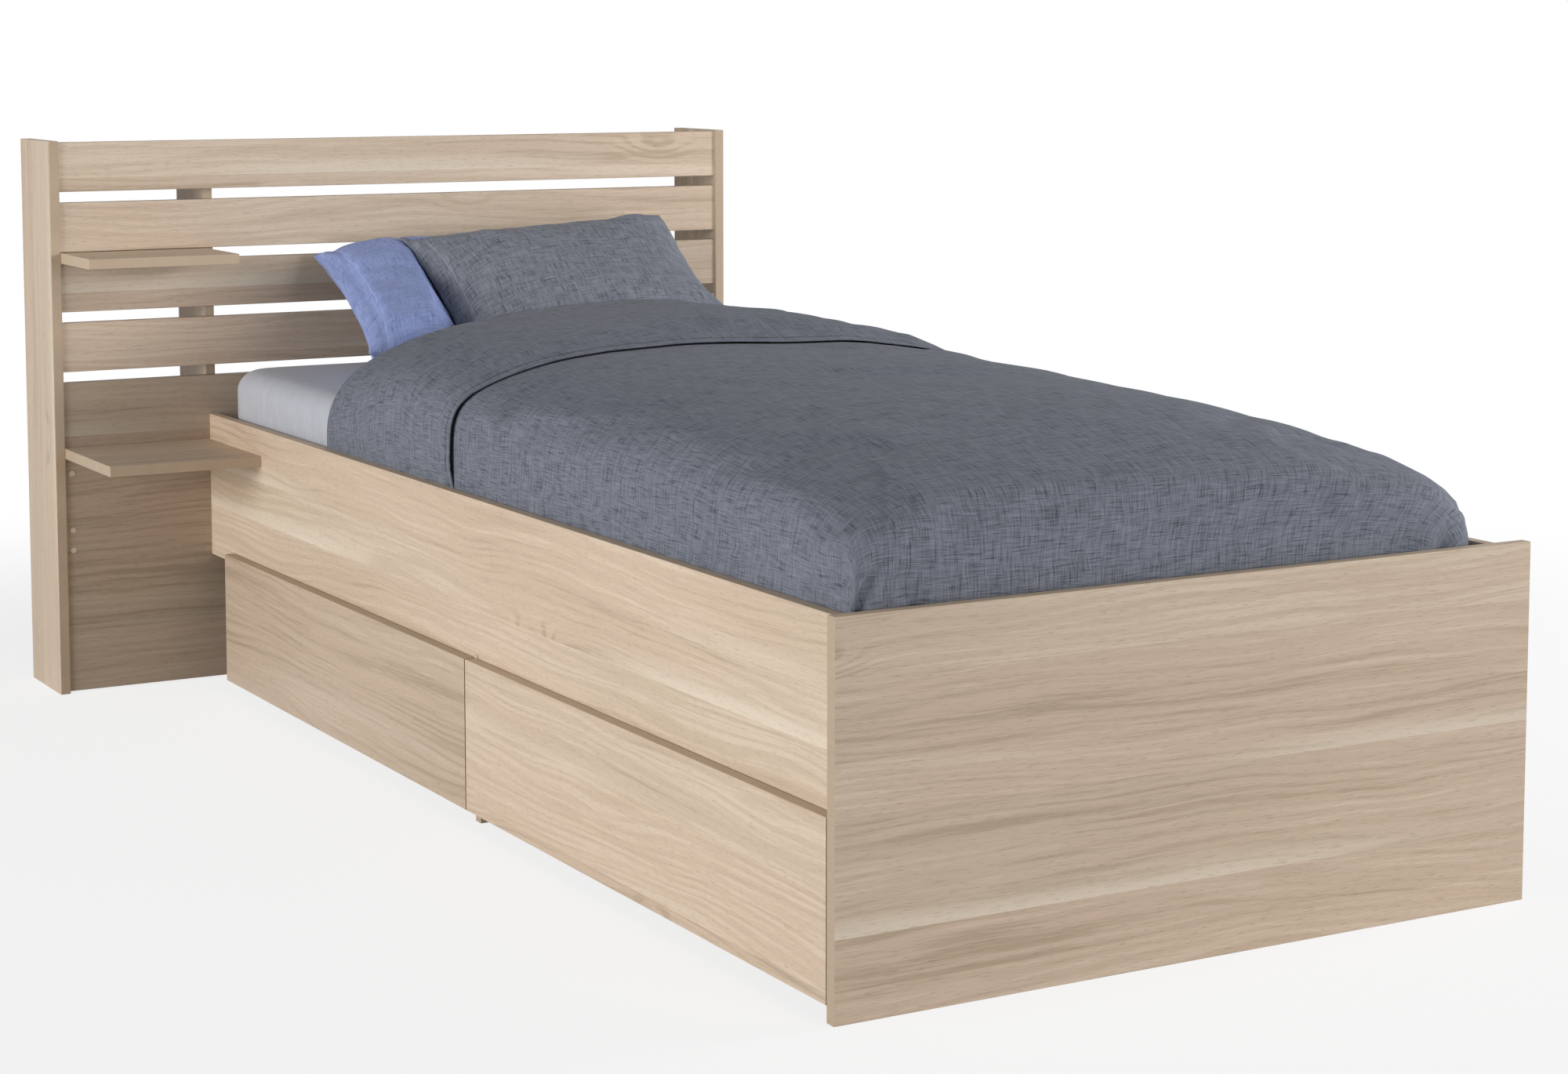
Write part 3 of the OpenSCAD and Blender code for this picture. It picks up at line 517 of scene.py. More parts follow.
def evenly(place, high, step):
    """Values from 0 to high whose points place(value) lie about one step apart."""
    reach = [0.0]
    before = Vector(place(0.0))
    for i in range(1, EVEN_PARTS + 1):
        after = Vector(place(high * i / EVEN_PARTS))
        reach.append(reach[-1] + (after - before).length)
        before = after
    count = round(reach[-1] / step)
    values, at = [0.0], 0
    for i in range(1, count):
        while reach[at] < reach[-1] * i / count:
            at += 1
        values.append(high * at / EVEN_PARTS)
    return [*values, high]


# Duvet: one cover that comes up from behind the foot panel, runs to its fold beside the
# pillows and comes back over itself to a hem

DUVET_WALL = 0.0022
DUVET_LENGTH = DUVET_HIGH.y - DUVET_LOW.y
TURN_LENGTH = 0.470
HEM_AT = DUVET_LENGTH - TURN_LENGTH

# Distance between the grid's lines, and the width beside each border where they lie closer
THREAD_STEP = 0.012
CLOSE = 0.130

# Heights above the rails in the middle: at the foot, at the hem, and what the flap adds
FOOT_HEIGHT = 0.160
DUVET_HEIGHT = 0.176
FLAP_RISE = 0.019

# Length of the foot's shoulder, and the powers of a sine that the shoulders follow: at the
# foot, on the left (more beside the pillows) and on the right (at the foot and at the hem)
SHOULDER = 0.554
SHOULDER_POWER = 0.40
STEEP = 1 / 3
HEAD_EASE = 0.22
EASE_FROM, EASE_OVER = 0.22, 0.20
GENTLE_FOOT, GENTLE_HEM = 0.90, 0.52
CORNER_POWER = 3
CORNER_R = 0.080

# The hem: what it stands above the body, its fall from the flap, how far it stands out at
# the left side, and the places of its last threads
HEM_RISE = 0.0027
HEM_FALL = 0.050
SIDE_HEM = 0.0055
SIDE_HEM_UP, SIDE_HEM_IN = 0.03, 0.06
HEM_THREADS = (0.006, 0.0025, 0.0)

# The part under the flap and the fold at its end
UNDER_PARTS, FOLD_PARTS = 18, 16
FOLD_RADIUS = 0.046
UNDER_GAP = 0.004
UNDER_INSET = 0.0026

# Size and height of the folds, and the seed of those that have one everywhere
BROAD_FOLD = (0.26, 0.008)
FINE_FOLD = (0.085, 0.0026)
DRAWN_FOLD = (0.042, 0.0062, 15)
SIDE_FOLD = (0.07, 0.005, 3)
FOOT_FOLD = (0.05, 0.004, 9)
BODY_SEED, FLAP_SEED = 1, 6

# Length over which the flap's folds part from the body's, and the width over which the
# drawn folds set in right of the middle
FLAP_FREE, DRAWN_FROM_MIDDLE = 0.120, 0.25

# Borders that the simulation doesn't move: above the rails, beside the hem, under the crown
HELD_SIDE, HELD_HEM, HELD_UNDER = 0.030, 0.045, 0.02


def shoulder(angle, power):
    """Share of the full height at an angle over a shoulder."""
    return math.sin(math.radians(angle)) ** power if 0 < angle < 180 else 0.0


def both(a, b):
    """Share of the full height where two shoulders meet at a round corner."""
    lost = sum(max(0.0, 1 - share) ** CORNER_POWER for share in (a, b))
    return max(0.0, 1 - lost ** (1 / CORNER_POWER))


def duvet_height(along):
    """Height of the cover's middle above the rails."""
    rise = math.sin(math.pi / 2 * min(1.0, along / HEM_AT))
    return FOOT_HEIGHT + (DUVET_HEIGHT - FOOT_HEIGHT) * rise


def corner_in(along):
    """How far the right side is drawn in by the round corner at the foot."""
    if along >= CORNER_R:
        return 0.0
    return CORNER_R - math.sqrt(CORNER_R ** 2 - (CORNER_R - along) ** 2)


def sheet_height(x):
    """Height of the fitted sheet under a point of the duvet."""
    inside = min(x - SHEET_LOW.x, SHEET_HIGH.x - x)
    if inside <= 0:
        return DUVET_LOW.z
    away = max(0.0, SHEET_EDGE - inside)
    return SHEET_TOP - SHEET_EDGE + math.sqrt(SHEET_EDGE ** 2 - away ** 2)


def duvet_side(angle, along):
    """Share of the cover's full height over its left and right shoulder."""
    if angle <= 90:
        ease = HEAD_EASE * soft_step((along - HEM_AT - EASE_FROM) / EASE_OVER)
        return shoulder(angle, STEEP + ease)
    gentle = GENTLE_FOOT + (GENTLE_HEM - GENTLE_FOOT) * min(1.0, along / HEM_AT)
    return shoulder(angle, gentle)


def duvet_stations():
    """Places along the cover: distance from the foot, height in the middle, share of the
    foot's shoulder, how far the sides stand inside the gap beside the mattress, and part."""
    def over_foot(turn):
        along = SHOULDER * (1 - math.cos(math.radians(turn)))
        return along, duvet_height(along) * shoulder(turn, SHOULDER_POWER), 0

    stations = []
    for turn in evenly(over_foot, 90, THREAD_STEP):
        along = over_foot(turn)[0]
        stations.append((along, duvet_height(along), shoulder(turn, SHOULDER_POWER), 0.0, "body"))
    runs = round((HEM_AT - SHOULDER) / THREAD_STEP)
    for i in range(1, runs + 1):
        along = SHOULDER + (HEM_AT - SHOULDER) * i / runs
        stations.append((along, duvet_height(along), 1.0, 0.0, "body"))
    under_end = DUVET_LENGTH - FOLD_RADIUS
    low = SHEET_TOP + UNDER_GAP - RAIL_TOP
    for i in range(1, UNDER_PARTS + 1):
        share = i / UNDER_PARTS
        stations.append((HEM_AT + (under_end - HEM_AT) * share,
                         DUVET_HEIGHT + (low - DUVET_HEIGHT) * soft_step(share),
                         1.0, UNDER_INSET * min(1, 8 * share), "under"))
    high = DUVET_HEIGHT + FLAP_RISE
    middle, half = (low + high) / 2, (high - low) / 2
    for i in range(1, FOLD_PARTS):
        angle = math.pi * i / FOLD_PARTS
        stations.append((under_end + FOLD_RADIUS * math.sin(angle), middle - half * math.cos(angle),
                         1.0, UNDER_INSET * (1 - i / FOLD_PARTS), "fold"))
    length = under_end - HEM_AT
    back = round(length / THREAD_STEP)
    shares = [i / back for i in range(back)] + [1 - reach / length for reach in HEM_THREADS]
    for share in sorted(shares):
        left = (1 - share) * length
        rise = HEM_RISE + (FLAP_RISE - HEM_RISE) * (1 - math.exp(-left / HEM_FALL))
        stations.append((under_end - share * length, DUVET_HEIGHT + rise, 1.0, 0.0, "flap"))
    return stations


def duvet_folds(x, along, part):
    """Rise of the cover's own folds at a point, in metres. The flap follows the body at its hem."""
    def own(seed):
        """Folds of one layer of the cover by itself."""
        rise = ripples((x * 0.8, along * 0.5, 0), *BROAD_FOLD, seed)
        return rise + ripples((x + 0.35 * along, along * 0.35, 0), *FINE_FOLD, seed + 2)

    if part in ("body", "under"):
        return own(BODY_SEED)
    free = soft_step((along - HEM_AT) / FLAP_FREE)
    drag = free * soft_step((x - BED_MIDDLE) / DRAWN_FROM_MIDDLE)
    drawn = ripples((x * 0.5 - along * 0.9, x * 0.12 + along * 0.2, 0), *DRAWN_FOLD)
    return own(BODY_SEED) * (1 - free) + own(FLAP_SEED) * free + drag * drawn


# Tucks at the foot: place across the bed at the rails' height, lean, bend, depth, half width
CORNER_TUCKS = [
    (DUVET_LOW.x + 0.006, 0.0, 11.0, 0.014, 0.006),
    (DUVET_LOW.x + 0.075, -0.35, 0.0, 0.006, 0.010),
    (DUVET_HIGH.x - 0.145, 0.90, 0.0, 0.007, 0.012),
    (DUVET_HIGH.x - 0.085, 0.50, 0.0, 0.009, 0.010),
]
TUCK_HEIGHT = 0.060


def duvet_tucks(x, z):
    """Depth of the tucks at the two corners of the foot end."""
    up = max(0.0, z - RAIL_TOP)
    deep = 0.0
    for at, lean, bend, depth, width in CORNER_TUCKS:
        off = (x - at - lean * up - bend * up * up) / width
        deep += depth * soft_step((TUCK_HEIGHT - up) / (0.5 * TUCK_HEIGHT)) * math.exp(-off * off)
    return deep


def duvet_mesh():
    stations = duvet_stations()
    left = DUVET_LOW.x
    span = (DUVET_HIGH.x - left) / 2

    def over_bed(angle):
        x = span * (1 - math.cos(math.radians(angle)))
        near = min(x, CLOSE) - max(0.0, x - 2 * span + CLOSE)
        return x + near, DUVET_HEIGHT * duvet_side(angle, HEM_AT), 0

    sweep = evenly(over_bed, 180, THREAD_STEP)
    columns = len(sweep) + 2

    def place(row, column):
        along, height, foot, inset, part = stations[row]
        right = DUVET_HIGH.x - corner_in(along)
        half = (right - left) / 2
        y = DUVET_LOW.y + along
        if column in (0, columns - 1):
            x = left + inset if column == 0 else right - inset
            return x, y, DUVET_LOW.z
        angle = sweep[column - 1]
        share = both(foot, duvet_side(angle, along))
        x = left + half - (half - inset) * math.cos(math.radians(angle))
        z = RAIL_TOP + share * (height + duvet_folds(x, along, part))
        slack = share * (1 - share) * 4
        z += slack * ripples((x * 0.4, y, 0), *SIDE_FOLD)
        if foot < 1:
            y += (1 - foot) * share * ripples((x, 0, z * 0.5), *FOOT_FOLD) + duvet_tucks(x, z)
        if part in ("under", "fold"):
            z = max(z, sheet_height(x) + UNDER_GAP)
        elif part == "flap" and angle < 90:
            stand = SIDE_HEM * soft_step((z - RAIL_TOP) / SIDE_HEM_UP)
            x -= stand * soft_step(1 - (x - left) / SIDE_HEM_IN)
        return x, max(y, DUVET_LOW.y), z

    return spread(len(stations), columns, place)


def duvet_held(point):
    """The borders, the hem and what lies between the body and the flap stay where they are."""
    along = point.y - DUVET_LOW.y
    return (
        point.z < RAIL_TOP + HELD_SIDE
        or abs(along - HEM_AT) < HELD_HEM
        or along > HEM_AT and point.z < RAIL_TOP + DUVET_HEIGHT - HELD_UNDER
    )


def make_duvet(material):
    duvet = piece("duvet_cover", duvet_mesh(), material, "duvet")
    settle(duvet, duvet_held, growth=0.012, pressure=0, cap=0.004)
    thicken(duvet, DUVET_WALL)


# Pillows

PILLOW_W = 0.490
PILLOW_T = 0.122
PILLOW_STEPS = 62
SOFT = 0.0004
FLOOR = SHEET_TOP + SOFT
CEILING_CLEAR = 0.002

# How far the sides are drawn in between the corners, where the round corner starts, how it
# bends and how much of it the seam drops there
PILLOW_DRAW = 0.07
CORNER_FROM, CORNER_OVER, CORNER_BEND = 0.6, 0.4, 1.5
CORNER_DROP = 0.6

# Roundness of the fullness towards the ends and the sides
END_ROUND, SIDE_ROUND, FULL_POWER = 6, 3, 0.7

# How far the grid's lines close in on the border
LINES_CLOSE = 0.35

# Height of the foot edge's seam, and the power of its climb to the head edge
FOOT_RISE = 0.050
CLIMB_POWER = 1.2

# Thickness of the blue pillow under the grey one, with the width over which it starts, and
# how far a pressed pillow's middle lies below what presses it
PRESSED = 0.032
PRESSED_EDGE = 0.050
PRESS_DEPTH = 0.022

# Stitched seam: place on the cloth and in plan, depth, half widths of line and puckers
SEAM_IN = 0.040
SEAM_PLAN = 0.026
SEAM_DEPTH = 0.0045
SEAM_LINE, SEAM_PUCKER = 0.006, 0.024

# Size and height of the dents, where the fine ones start, and where the border is
PUCKER = (0.021, 0.0045, 31)
BROAD_DENT = (0.11, 0.009)
FINE_DENT = (0.038, 0.006)
FINE_FROM, FINE_OVER = 0.3, 0.5
BORDER_WAVE = (0.030, 0.0035)
BORDER = 0.995

# Weld and crease of the rim. What lies this near to the floor or ceiling doesn't swell
RIM_WELD, RIM_CREASE = 0.0002, 0.7
NEAR_FLOOR, NEAR_CEILING = 0.003, 0.010
PRESS_CLEAR = 0.0015


class Pillow:
    """A pillow that leans on the headboard. s runs from its foot edge to its head edge
    and t from left to right, both from -1 to 1. x is its middle, turn moves the head edge to
    the right, gap is its distance from the headboard, rise and tilt place the seam, rounded
    takes off the right head corner, sag lowers the head edge's middle, and head is the
    roundness of the fullness towards the head edge."""

    def __init__(self, x, turn, gap, length, rise, tilt, rounded, sag, head, seed):
        self.x, self.turn, self.length, self.rise, self.tilt = x, turn, length, rise, tilt
        self.head_y = PANEL_LOW.y - gap
        self.rounded, self.sag, self.head, self.seed = rounded, sag, head, seed

    def tucked(self, s, t):
        """How far the head corner on the right is rounded off at a point."""
        near = [max(0.0, (a - CORNER_FROM) / CORNER_OVER) ** CORNER_BEND for a in (s, t)]
        return self.rounded * near[0] * near[1]

    def across(self, s, t):
        width = PILLOW_W / 2 * (1 - PILLOW_DRAW * (1 - s * s))
        return self.x + self.turn * s + t * width - self.tucked(s, t)

    def along(self, s, t):
        half = self.length / 2
        return self.head_y - half + s * half * (1 - PILLOW_DRAW * (1 - t * t)) - self.tucked(s, t)

    def seam_groove(self, x, y):
        """Depth of the stitched seam beside the left edge, with the puckers it draws."""
        half = self.length / 2
        s = max(-1.0, min(1.0, (y - self.head_y) / half + 1))
        inside = x - self.across(s, -1)
        line = math.exp(-((inside - SEAM_PLAN) / SEAM_LINE) ** 2)
        near = math.exp(-((inside - SEAM_PLAN) / SEAM_PUCKER) ** 2)
        return SEAM_DEPTH * line + near * ripples((x * 0.35, y, 0), *PUCKER)

    def seam(self, s, t):
        """Height of the seam's plane, which hangs a little in the middle of the head edge."""
        climb = (self.rise - FOOT_RISE) * ((s + 1) / 2) ** CLIMB_POWER
        hang = self.sag * (1 - t * t) * max(0.0, s)
        drop = self.tucked(s, t) * CORNER_DROP
        return SHEET_TOP + FOOT_RISE + climb - hang + self.tilt * t - drop


def fullness(a, roundness):
    return max(0.0, 1 - abs(a) ** roundness) ** FULL_POWER


def crown(s, t, head=END_ROUND):
    """Share of the full thickness at a point."""
    return fullness(s, head if s > 0 else END_ROUND) * fullness(t, SIDE_ROUND)


BLUE = Pillow(
    x=BED_MIDDLE - 0.090, turn=0.033, gap=0.035, length=0.425, rise=0.172, tilt=-0.008,
    rounded=0.012, sag=0.0, head=END_ROUND, seed=11,
)
GREY = Pillow(
    x=BED_MIDDLE + 0.048, turn=0.014, gap=0.115, length=0.353, rise=0.226, tilt=0.016,
    rounded=0.015, sag=0.012, head=2.2, seed=23,
)


def pillow_heights(pillow, s, t, floor, ceiling):
    """Upper and lower surface at a point. Both close in on the seam's height at the border,
    and the lower one is fuller towards the foot edge."""
    half = crown(s, t, pillow.head) * PILLOW_T / 2
    middle = min(pillow.seam(s, t), max((floor + ceiling) / 2, ceiling - PRESS_DEPTH))
    middle = max(middle, floor)
    upper = max(middle, min(middle + half, ceiling))
    lower = min(middle, max(middle - half * (1 + (1 - s) / 2), floor))
    return upper, lower


# What a pillow lies on, and what lies on it: heights at a place x, y


def grey_floor(x, y):
    over = BLUE.x + PILLOW_W / 2 + PRESSED_EDGE - x
    return FLOOR + (PRESSED + SOFT) * soft_step(over / PRESSED_EDGE)


def sheet_floor(x, y):
    return FLOOR


def free_ceiling(x, y):
    return SHEET_TOP + 1.0


def pillow_mesh(pillow, floor, ceiling):
    seed = pillow.seed

    def share(index):
        """Place of a line of the grid, from -1 to 1."""
        even = 2 * index / (PILLOW_STEPS - 1) - 1
        return (1 - LINES_CLOSE) * even + LINES_CLOSE * math.sin(math.pi / 2 * even)

    def surface(side):
        """The upper (0) or lower (1) half. The upper one has dents."""
        def place(row, column):
            s, t = share(row), share(column)
            x, y = pillow.across(s, t), pillow.along(s, t)
            limit = ceiling(x, y) - CEILING_CLEAR
            z = pillow_heights(pillow, s, t, floor(x, y), limit)[side]
            edge = max(abs(s), abs(t))
            if side == 0:
                free = crown(s, t)
                z += free * ripples((x * 0.9, y * 0.6, z), *BROAD_DENT, seed)
                free *= soft_step((edge - FINE_FROM) / FINE_OVER)
                z += free * ripples((x, y, z), *FINE_DENT, seed + 3)
                z = min(z, limit)
            if edge > BORDER:
                x += ripples((x, y, z), *BORDER_WAVE, seed + 5)
            return x, y, z
        return spread(PILLOW_STEPS, PILLOW_STEPS, place)

    top, under = surface(0), surface(1)
    bmesh.ops.reverse_faces(under, faces=under.faces[:])
    keep = bpy.data.meshes.new("under")
    under.to_mesh(keep)
    under.free()
    top.from_mesh(keep)
    bpy.data.meshes.remove(keep)
    return top


def make_pillow(name, node, pillow, floor, ceiling, material):
    """Closes a pillow's two halves into one cover, lets it swell and presses its seam in."""
    mesh = pillow_mesh(pillow, floor, ceiling)
    rim = [vert for vert in mesh.verts if vert.is_boundary]
    bmesh.ops.remove_doubles(mesh, verts=rim, dist=RIM_WELD)
    rim = {vert for vert in rim if vert.is_valid}
    crease = mesh.edges.layers.float.new("crease_edge")
    for edge in mesh.edges:
        if rim.issuperset(edge.verts):
            edge[crease] = RIM_CREASE
    made = piece(name, mesh, material, node)

    def touching(point):
        low, high = floor(point.x, point.y), ceiling(point.x, point.y)
        return point.z < low + NEAR_FLOOR or point.z > high - NEAR_CEILING

    settle(made, touching, growth=0.015, pressure=4.0, cap=0.006)
    for vert in made.data.vertices:
        x, y, z = vert.co
        if vert.normal.z > 0:
            z -= pillow.seam_groove(x, y)
        vert.co.z = max(floor(x, y), min(z, ceiling(x, y) - PRESS_CLEAR))
    made.data.update()
    subdivide_once(made)
    return made


def space_under(made, slope):
    """Height of a piece's underside over a point. Beyond its outline the free space opens
    upwards by a slope."""
    data = made.data
    tree = BVHTree.FromPolygons([v.co for v in data.vertices], [p.vertices for p in data.polygons])
    start = FLOOR - 0.05
    step = 0.008

    def cells_along(places):
        return range(math.floor(min(places) / step), math.ceil(max(places) / step) + 1)

    def over(x, y):
        hit = tree.ray_cast(Vector((x, y, start)), Vector((0, 0, 1)))[0]
        return hit.z if hit else None

    cells = {
        (i, j): over(i * step, j * step)
        for i in cells_along([v.co.x for v in data.vertices])
        for j in cells_along([v.co.y for v in data.vertices])
    }
    border = [
        (i * step, j * step, z) for (i, j), z in cells.items() if z is not None
        and None in [cells.get(near) for near in ((i - 1, j), (i + 1, j), (i, j - 1), (i, j + 1))]
    ]

    @functools.lru_cache(maxsize=None)
    def ceiling(x, y):
        z = over(x, y)
        if z is None:
            z = min(bz + slope * math.hypot(x - bx, y - by) for bx, by, bz in border)
        return z

    return ceiling


# Sheet and mattress

SHEET_EDGE, SHEET_EDGE_STEPS = 0.033, 7
SHEET_CORNER = 0.082
SHEET_WALL = 0.00096
SHEET_SPANS = (34, 90)
SHEET_LOWER, SHEET_FOLD = 0.0012, (0.12, 0.0012, 3)
MATTRESS_CORNER, MATTRESS_EDGE, ROUND_STEPS = 0.120, 0.105, 8

# What the sheet and the mattress stay clear of under the duvet: at the foot, on the right,
# below the duvet's middle and below the rails' top
MATTRESS_CLEAR = 0.014
SHEET_BEHIND = 0.022
SIDE_CLEAR, SIDE_FROM_MIDDLE = 0.014, 0.2
CROWN_CLEAR, RAIL_CLEAR = 0.010, 0.006


def make_sheet(material):
    low, high = SHEET_LOW, SHEET_HIGH
    turns = [math.radians(90 * i / SHEET_EDGE_STEPS) for i in range(SHEET_EDGE_STEPS + 1)]
    rim = [(0.0, low.z)] + [
        (SHEET_EDGE * (1 - math.cos(a)), high.z - SHEET_EDGE * (1 - math.sin(a))) for a in turns
    ]

    def lines(start, end, spans):
        """Places of the grid's lines from side to side, and their heights."""
        top = end - start - 2 * SHEET_EDGE
        places = [start + reach for reach, height in rim]
        inner = [start + SHEET_EDGE + top * i / spans for i in range(1, spans)]
        heights = [height for reach, height in rim]
        return (places + inner + [start + end - place for place in reversed(places)],
                heights + [high.z] * len(inner) + heights[::-1])

    xs, heights_x = lines(low.x, high.x, SHEET_SPANS[0])
    ys, heights_y = lines(low.y, high.y, SHEET_SPANS[1])

    def place(row, column):
        x, y = xs[column], ys[row]
        z = min(heights_x[column], heights_y[row])
        dx = max(0.0, SHEET_CORNER - (x - low.x), SHEET_CORNER - (high.x - x))
        dy = max(0.0, SHEET_CORNER - (y - low.y), SHEET_CORNER - (high.y - y))
        if dx > 0 and dy > 0:
            pull = max(dx, dy) / math.hypot(dx, dy)
            x += (1 - pull) * dx * (1 if x < BED_MIDDLE else -1)
            y += (1 - pull) * dy * (1 if y < 0 else -1)
        flat = soft_step((z - (high.z - SHEET_EDGE)) / SHEET_EDGE)
        z -= flat * (SHEET_LOWER + ripples((x, y * 0.7, 0), *SHEET_FOLD))
        return x, y, min(z, max(low.z, under_duvet(x, y)))

    made = piece("fitted_sheet_cloth", spread(len(ys), len(xs), place), material,
                 "fitted_sheet")
    thicken(made, SHEET_WALL)


def under_duvet(x, y):
    """Highest place that stays hidden below the duvet's rounded borders."""
    along = y - DUVET_LOW.y - SHEET_BEHIND
    if along > HEM_AT:
        return SHEET_TOP
    right = DUVET_HIGH.x - corner_in(max(0.0, along))
    half = (right - DUVET_LOW.x) / 2
    aside = SIDE_CLEAR * soft_step((x - BED_MIDDLE) / SIDE_FROM_MIDDLE)
    reach = (x + aside - DUVET_LOW.x) / half
    if not 0 < reach < 2 or along <= 0:
        return RAIL_TOP
    angle = math.degrees(math.acos(1 - reach))
    turn = math.degrees(math.acos(max(0.0, 1 - along / SHOULDER)))
    foot = shoulder(turn, SHOULDER_POWER) if turn < 90 else 1.0
    share = both(foot, duvet_side(angle, along))
    return RAIL_TOP + share * (duvet_height(along) - CROWN_CLEAR) - RAIL_CLEAR


def make_mattress(material):
    mesh = bmesh.new()
    bmesh.ops.create_cube(mesh, size=1.0)
    low = MATTRESS_LOW + Vector((0, MATTRESS_CLEAR, 0))
    bmesh.ops.scale(mesh, vec=MATTRESS_HIGH - low, verts=mesh.verts[:])
    bmesh.ops.translate(mesh, vec=(MATTRESS_HIGH + low) / 2, verts=mesh.verts[:])

    def level(edge):
        return abs(edge.verts[0].co.z - edge.verts[1].co.z) < 0.001

    def round_off(edges, radius):
        bmesh.ops.bevel(mesh, geom=edges, offset=radius, segments=ROUND_STEPS, profile=0.5,
                        affect="EDGES", material=-1)

    round_off([edge for edge in mesh.edges if not level(edge)], MATTRESS_CORNER)
    rim = [edge for edge in mesh.edges if level(edge) and edge.calc_face_angle() > 1.0]
    round_off(rim, MATTRESS_EDGE)
    cloth = mesh.loops.layers.uv.new("cloth")
    for face in mesh.faces:
        for loop in face.loops:
            at = loop.vert.co
            loop[cloth].uv = (at.x + (at.z if abs(face.normal.x) > 0.7 else 0),
                              at.y + (at.z if abs(face.normal.y) > 0.7 else 0))
    made = piece("mattress_core", mesh, material, "mattress")


# Finishes of the CAD nodes: board, grain axis, axis across the grain and level. The level is
# partly a board's own tone and partly painted light and shade: boards in shade, such as the
# lower panel and slat 3, are darker, and boards in the light, such as the left rail and slat 1,
# lighter

BOARDS = [
    ("foot_panel", "X", "Z", 0.97), ("side_rail_left", "Y", "Z", 1.1),
    ("side_rail_right", "Y", "Z", 1.0), ("centre_divider", "X", "Z", 1.0),
    ("headboard_side_left", "Z", "Y", 1.0), ("headboard_side_right", "Z", "Y", 1.0),
    ("headboard_slat_1", "X", "Z", 1.08), ("headboard_slat_2", "X", "Z", 1.03),
    ("headboard_slat_3", "X", "Z", 0.83), ("headboard_slat_4", "X", "Z", 1.0),
    ("headboard_lower_panel", "X", "Z", 0.74), ("headboard_upright", "Z", "Y", 1.0),
    ("headboard_top_board", "X", "Y", 1.0), ("upper_shelf", "X", "Y", 1.08),
    ("lower_shelf", "X", "Y", 1.0), ("drawer_foot_front", "Y", "Z", 1.08),
    ("drawer_foot_sides", "X", "Z", 1.0), ("drawer_foot_back", "Y", "Z", 1.0),
    ("drawer_head_front", "Y", "Z", 0.96), ("drawer_head_sides", "X", "Z", 1.0),
    ("drawer_head_back", "Y", "Z", 1.0),
]
BATTENS = [("slat_cleat_left", "Y"), ("slat_cleat_right", "Y"), ("bed_slats", "X")]
FITTINGS = [
    "rail_cams", "rail_cam_bolts", "upper_shelf_pins", "lower_shelf_screws",
    "drawer_foot_castors", "drawer_foot_axles", "drawer_head_castors", "drawer_head_axles",
]


def finish_node(name, material):
    data = NODES[name].data
    if not data.materials:
        data.materials.append(material)
    for slot in NODES[name].material_slots:
        slot.material = material


def finish_nodes():
    for number, (name, along, across, level) in enumerate(BOARDS):
        finish_node(name, oak_decor("oak_" + name, along, across, number + 1, level))
    for name, along in BATTENS:
        finish_node(name, plain_pine("pine_" + name, along))
    base = faced_base("drawer_base")
    for name in ("drawer_foot_bottom", "drawer_head_bottom"):
        finish_node(name, base)
    zinc = zinc_plate("zinc_plate")
    for name in FITTINGS:
        finish_node(name, zinc)
    tyre = moulded_plastic("wheel_plastic", (0.035, 0.035, 0.037), (0.06, 0.06, 0.063), 0.5)
    for name in NODES:
        if "wheel" in name:
            finish_node(name, tyre)
    pale = moulded_plastic("pale_plastic", (0.62, 0.53, 0.42), (0.70, 0.61, 0.50), 0.45)
    for name in ("cover_caps", "drawer_stop"):
        finish_node(name, pale)


# Studio

WORLD_LIGHT = 0.15

# Lamps: place, what they point at, width and height, and power in watts
LAMPS = [
    ("left_window", (-5.2, -0.6, 1.35), (0, 0, 0.4), (3.6, 2.0), 172),
    ("front_window", (1.2, -5.6, 1.10), (0, 0, 0.4), (2.4, 1.4), 92),
    ("head_lamp", (2.8, -1.15, 1.60), (0, 0.9, 0.6), (1.2, 1.2), 52),
]

# Distances from the middle between which the ground turns white, and its share of white
SHADOW_NEAR, SHADOW_FAR = 1.5, 2.9
GROUND_WHITE = 0.80


def area_lamp(name, at, aim, size, power):
    data = bpy.data.lights.new(name, "AREA")
    data.shape = "RECTANGLE"
    data.size, data.size_y = size
    data.energy = power
    lamp = bpy.data.objects.new(name, data)
    lamp.location = at
    lamp.rotation_euler = (Vector(aim) - Vector(at)).to_track_quat("-Z", "Y").to_euler()
    bpy.context.scene.collection.objects.link(lamp)


def seen_white(tree):
    """Mix factor for what the camera, gloss and glass see as plain white."""
    path = tree.nodes.new("ShaderNodeLightPath")
    share = path.outputs["Is Camera Ray"]
    for ray in ("Is Glossy Ray", "Is Transmission Ray"):
        either = tree.nodes.new("ShaderNodeMath")
        either.operation = "MAXIMUM"
        tree.links.new(share, either.inputs[0])
        tree.links.new(path.outputs[ray], either.inputs[1])
        share = either.outputs[0]
    return share


def studio():
    scene = bpy.context.scene
    scene.view_settings.view_transform = "Standard"
    world = bpy.data.worlds.new("studio")
    scene.world = world
    world.use_nodes = True
    tree = world.node_tree
    tree.nodes.clear()
    mix = tree.nodes.new("ShaderNodeMixShader")
    tree.links.new(seen_white(tree), mix.inputs[0])
    for slot, strength in ((1, WORLD_LIGHT), (2, 1.0)):
        plain = tree.nodes.new("ShaderNodeBackground")
        plain.inputs["Color"].default_value = (1, 1, 1, 1)
        plain.inputs["Strength"].default_value = strength
        tree.links.new(plain.outputs[0], mix.inputs[slot])
    out = tree.nodes.new("ShaderNodeOutputWorld")
    tree.links.new(mix.outputs[0], out.inputs["Surface"])

    for lamp in LAMPS:
        area_lamp(*lamp)


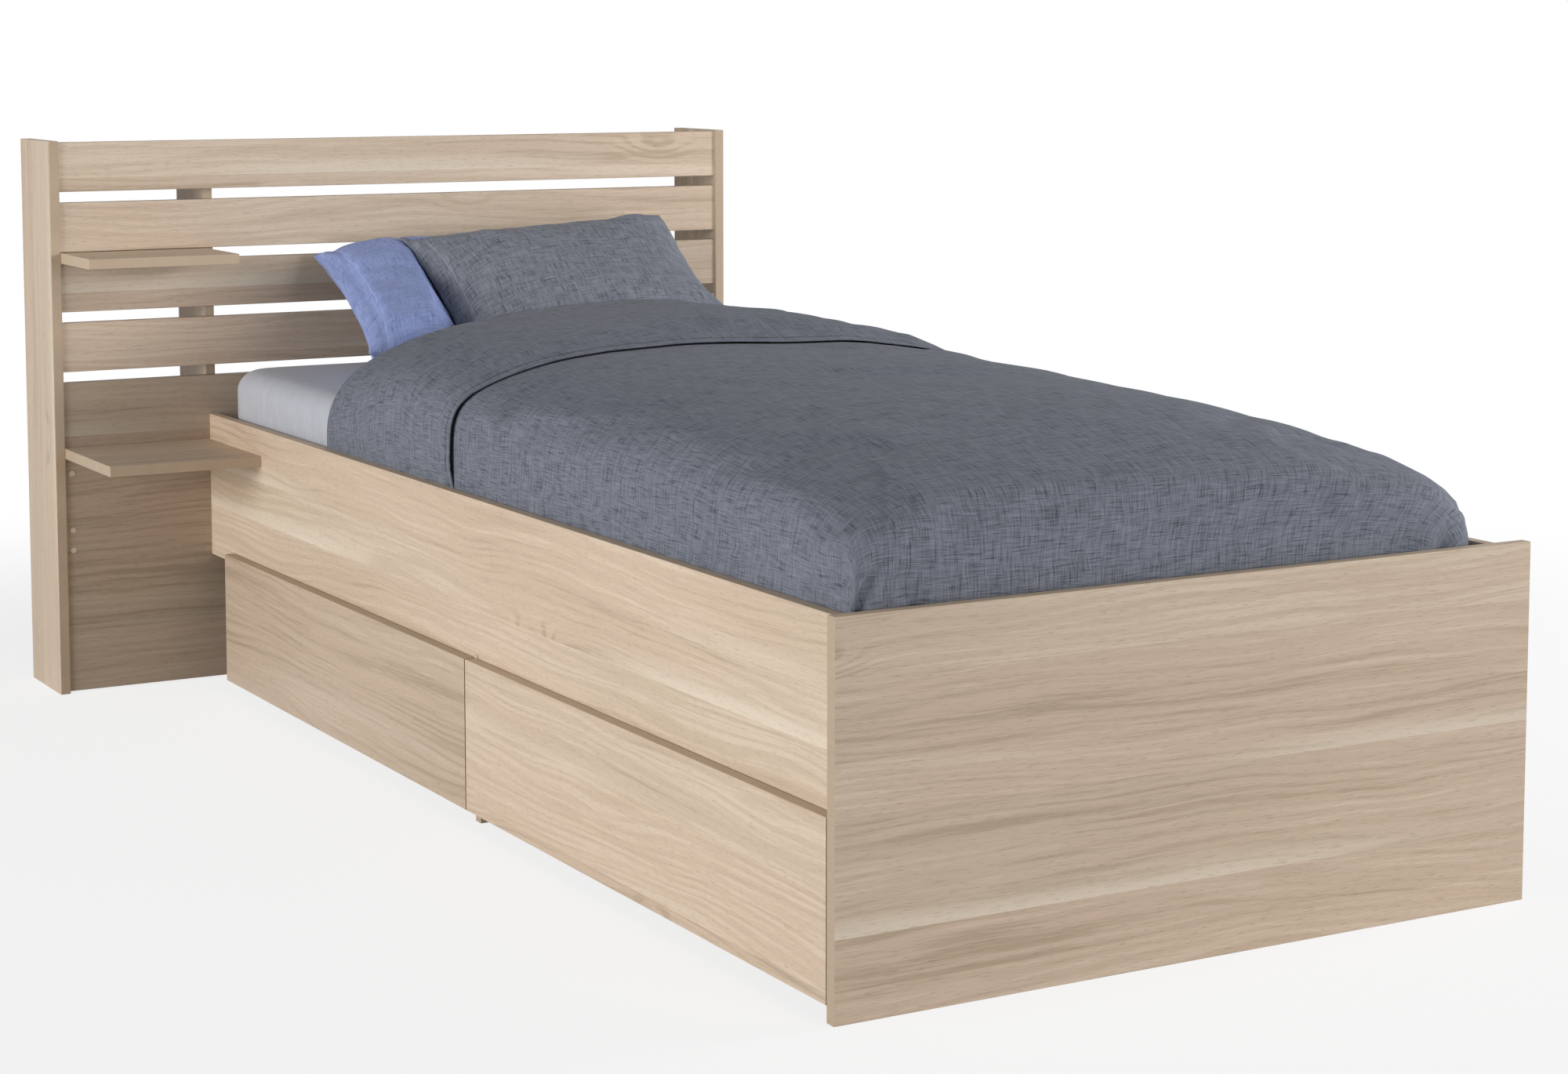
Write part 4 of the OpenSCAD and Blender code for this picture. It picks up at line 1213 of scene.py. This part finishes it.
def floor():
    """White ground that shows the shadow near the bed and is plain white further off."""
    mesh = bmesh.new()
    bmesh.ops.create_circle(mesh, cap_ends=True, segments=96, radius=9)
    data = bpy.data.meshes.new("floor")
    mesh.to_mesh(data)
    mesh.free()
    ground = bpy.data.objects.new("floor", data)
    bpy.context.scene.collection.objects.link(ground)
    paint = Paint("floor_white")
    paint.put(Base_Color=(0.90, 0.90, 0.90, 1), Roughness=0.9, Specular_IOR_Level=0.0)
    tree = paint.tree
    glow = tree.nodes.new("ShaderNodeEmission")
    glow.inputs["Strength"].default_value = 1.0
    x, y = paint.place()[:2]
    reach = (x * x + y * y).math("SQRT")
    away = paint.fit(reach, SHADOW_NEAR, SHADOW_FAR, GROUND_WHITE, 1.0)
    mix = tree.nodes.new("ShaderNodeMixShader")
    share = Wire(paint, seen_white(tree)) * away
    tree.links.new(share.socket, mix.inputs[0])
    tree.links.new(paint.shader.outputs[0], mix.inputs[1])
    tree.links.new(glow.outputs[0], mix.inputs[2])
    tree.links.new(mix.outputs[0], paint.output.inputs["Surface"])
    data.materials.append(paint.material)


photo_camera()
studio()
floor()
finish_nodes()

DUVET_LINEN = slub_linen(
    "grey_linen", dark=(0.064, 0.074, 0.098), light=(0.256, 0.276, 0.330),
    seam="Y", seam_at=-0.012, seam_tone=-0.45,
)
PILLOW_LINEN = slub_linen(
    "pillow_linen", dark=(0.070, 0.080, 0.104), light=(0.355, 0.378, 0.440),
    seam="X", seam_at=SEAM_IN, seam_tone=0.30,
)
BLUE_LINEN = slub_linen(
    "blue_linen", dark=(0.190, 0.250, 0.530), light=(0.410, 0.500, 0.860),
    seam="X", seam_at=SEAM_IN, seam_tone=0.30,
)
make_mattress(mattress_ticking("mattress_ticking"))
make_sheet(crinkled_cotton("sheet_cotton"))
make_duvet(DUVET_LINEN)
GREY_PILLOW = make_pillow("grey_pillow", "pillow_grey", GREY, grey_floor, free_ceiling,
                          PILLOW_LINEN)
make_pillow("blue_pillow", "pillow_blue", BLUE, sheet_floor,
            space_under(GREY_PILLOW, slope=1.6), BLUE_LINEN)
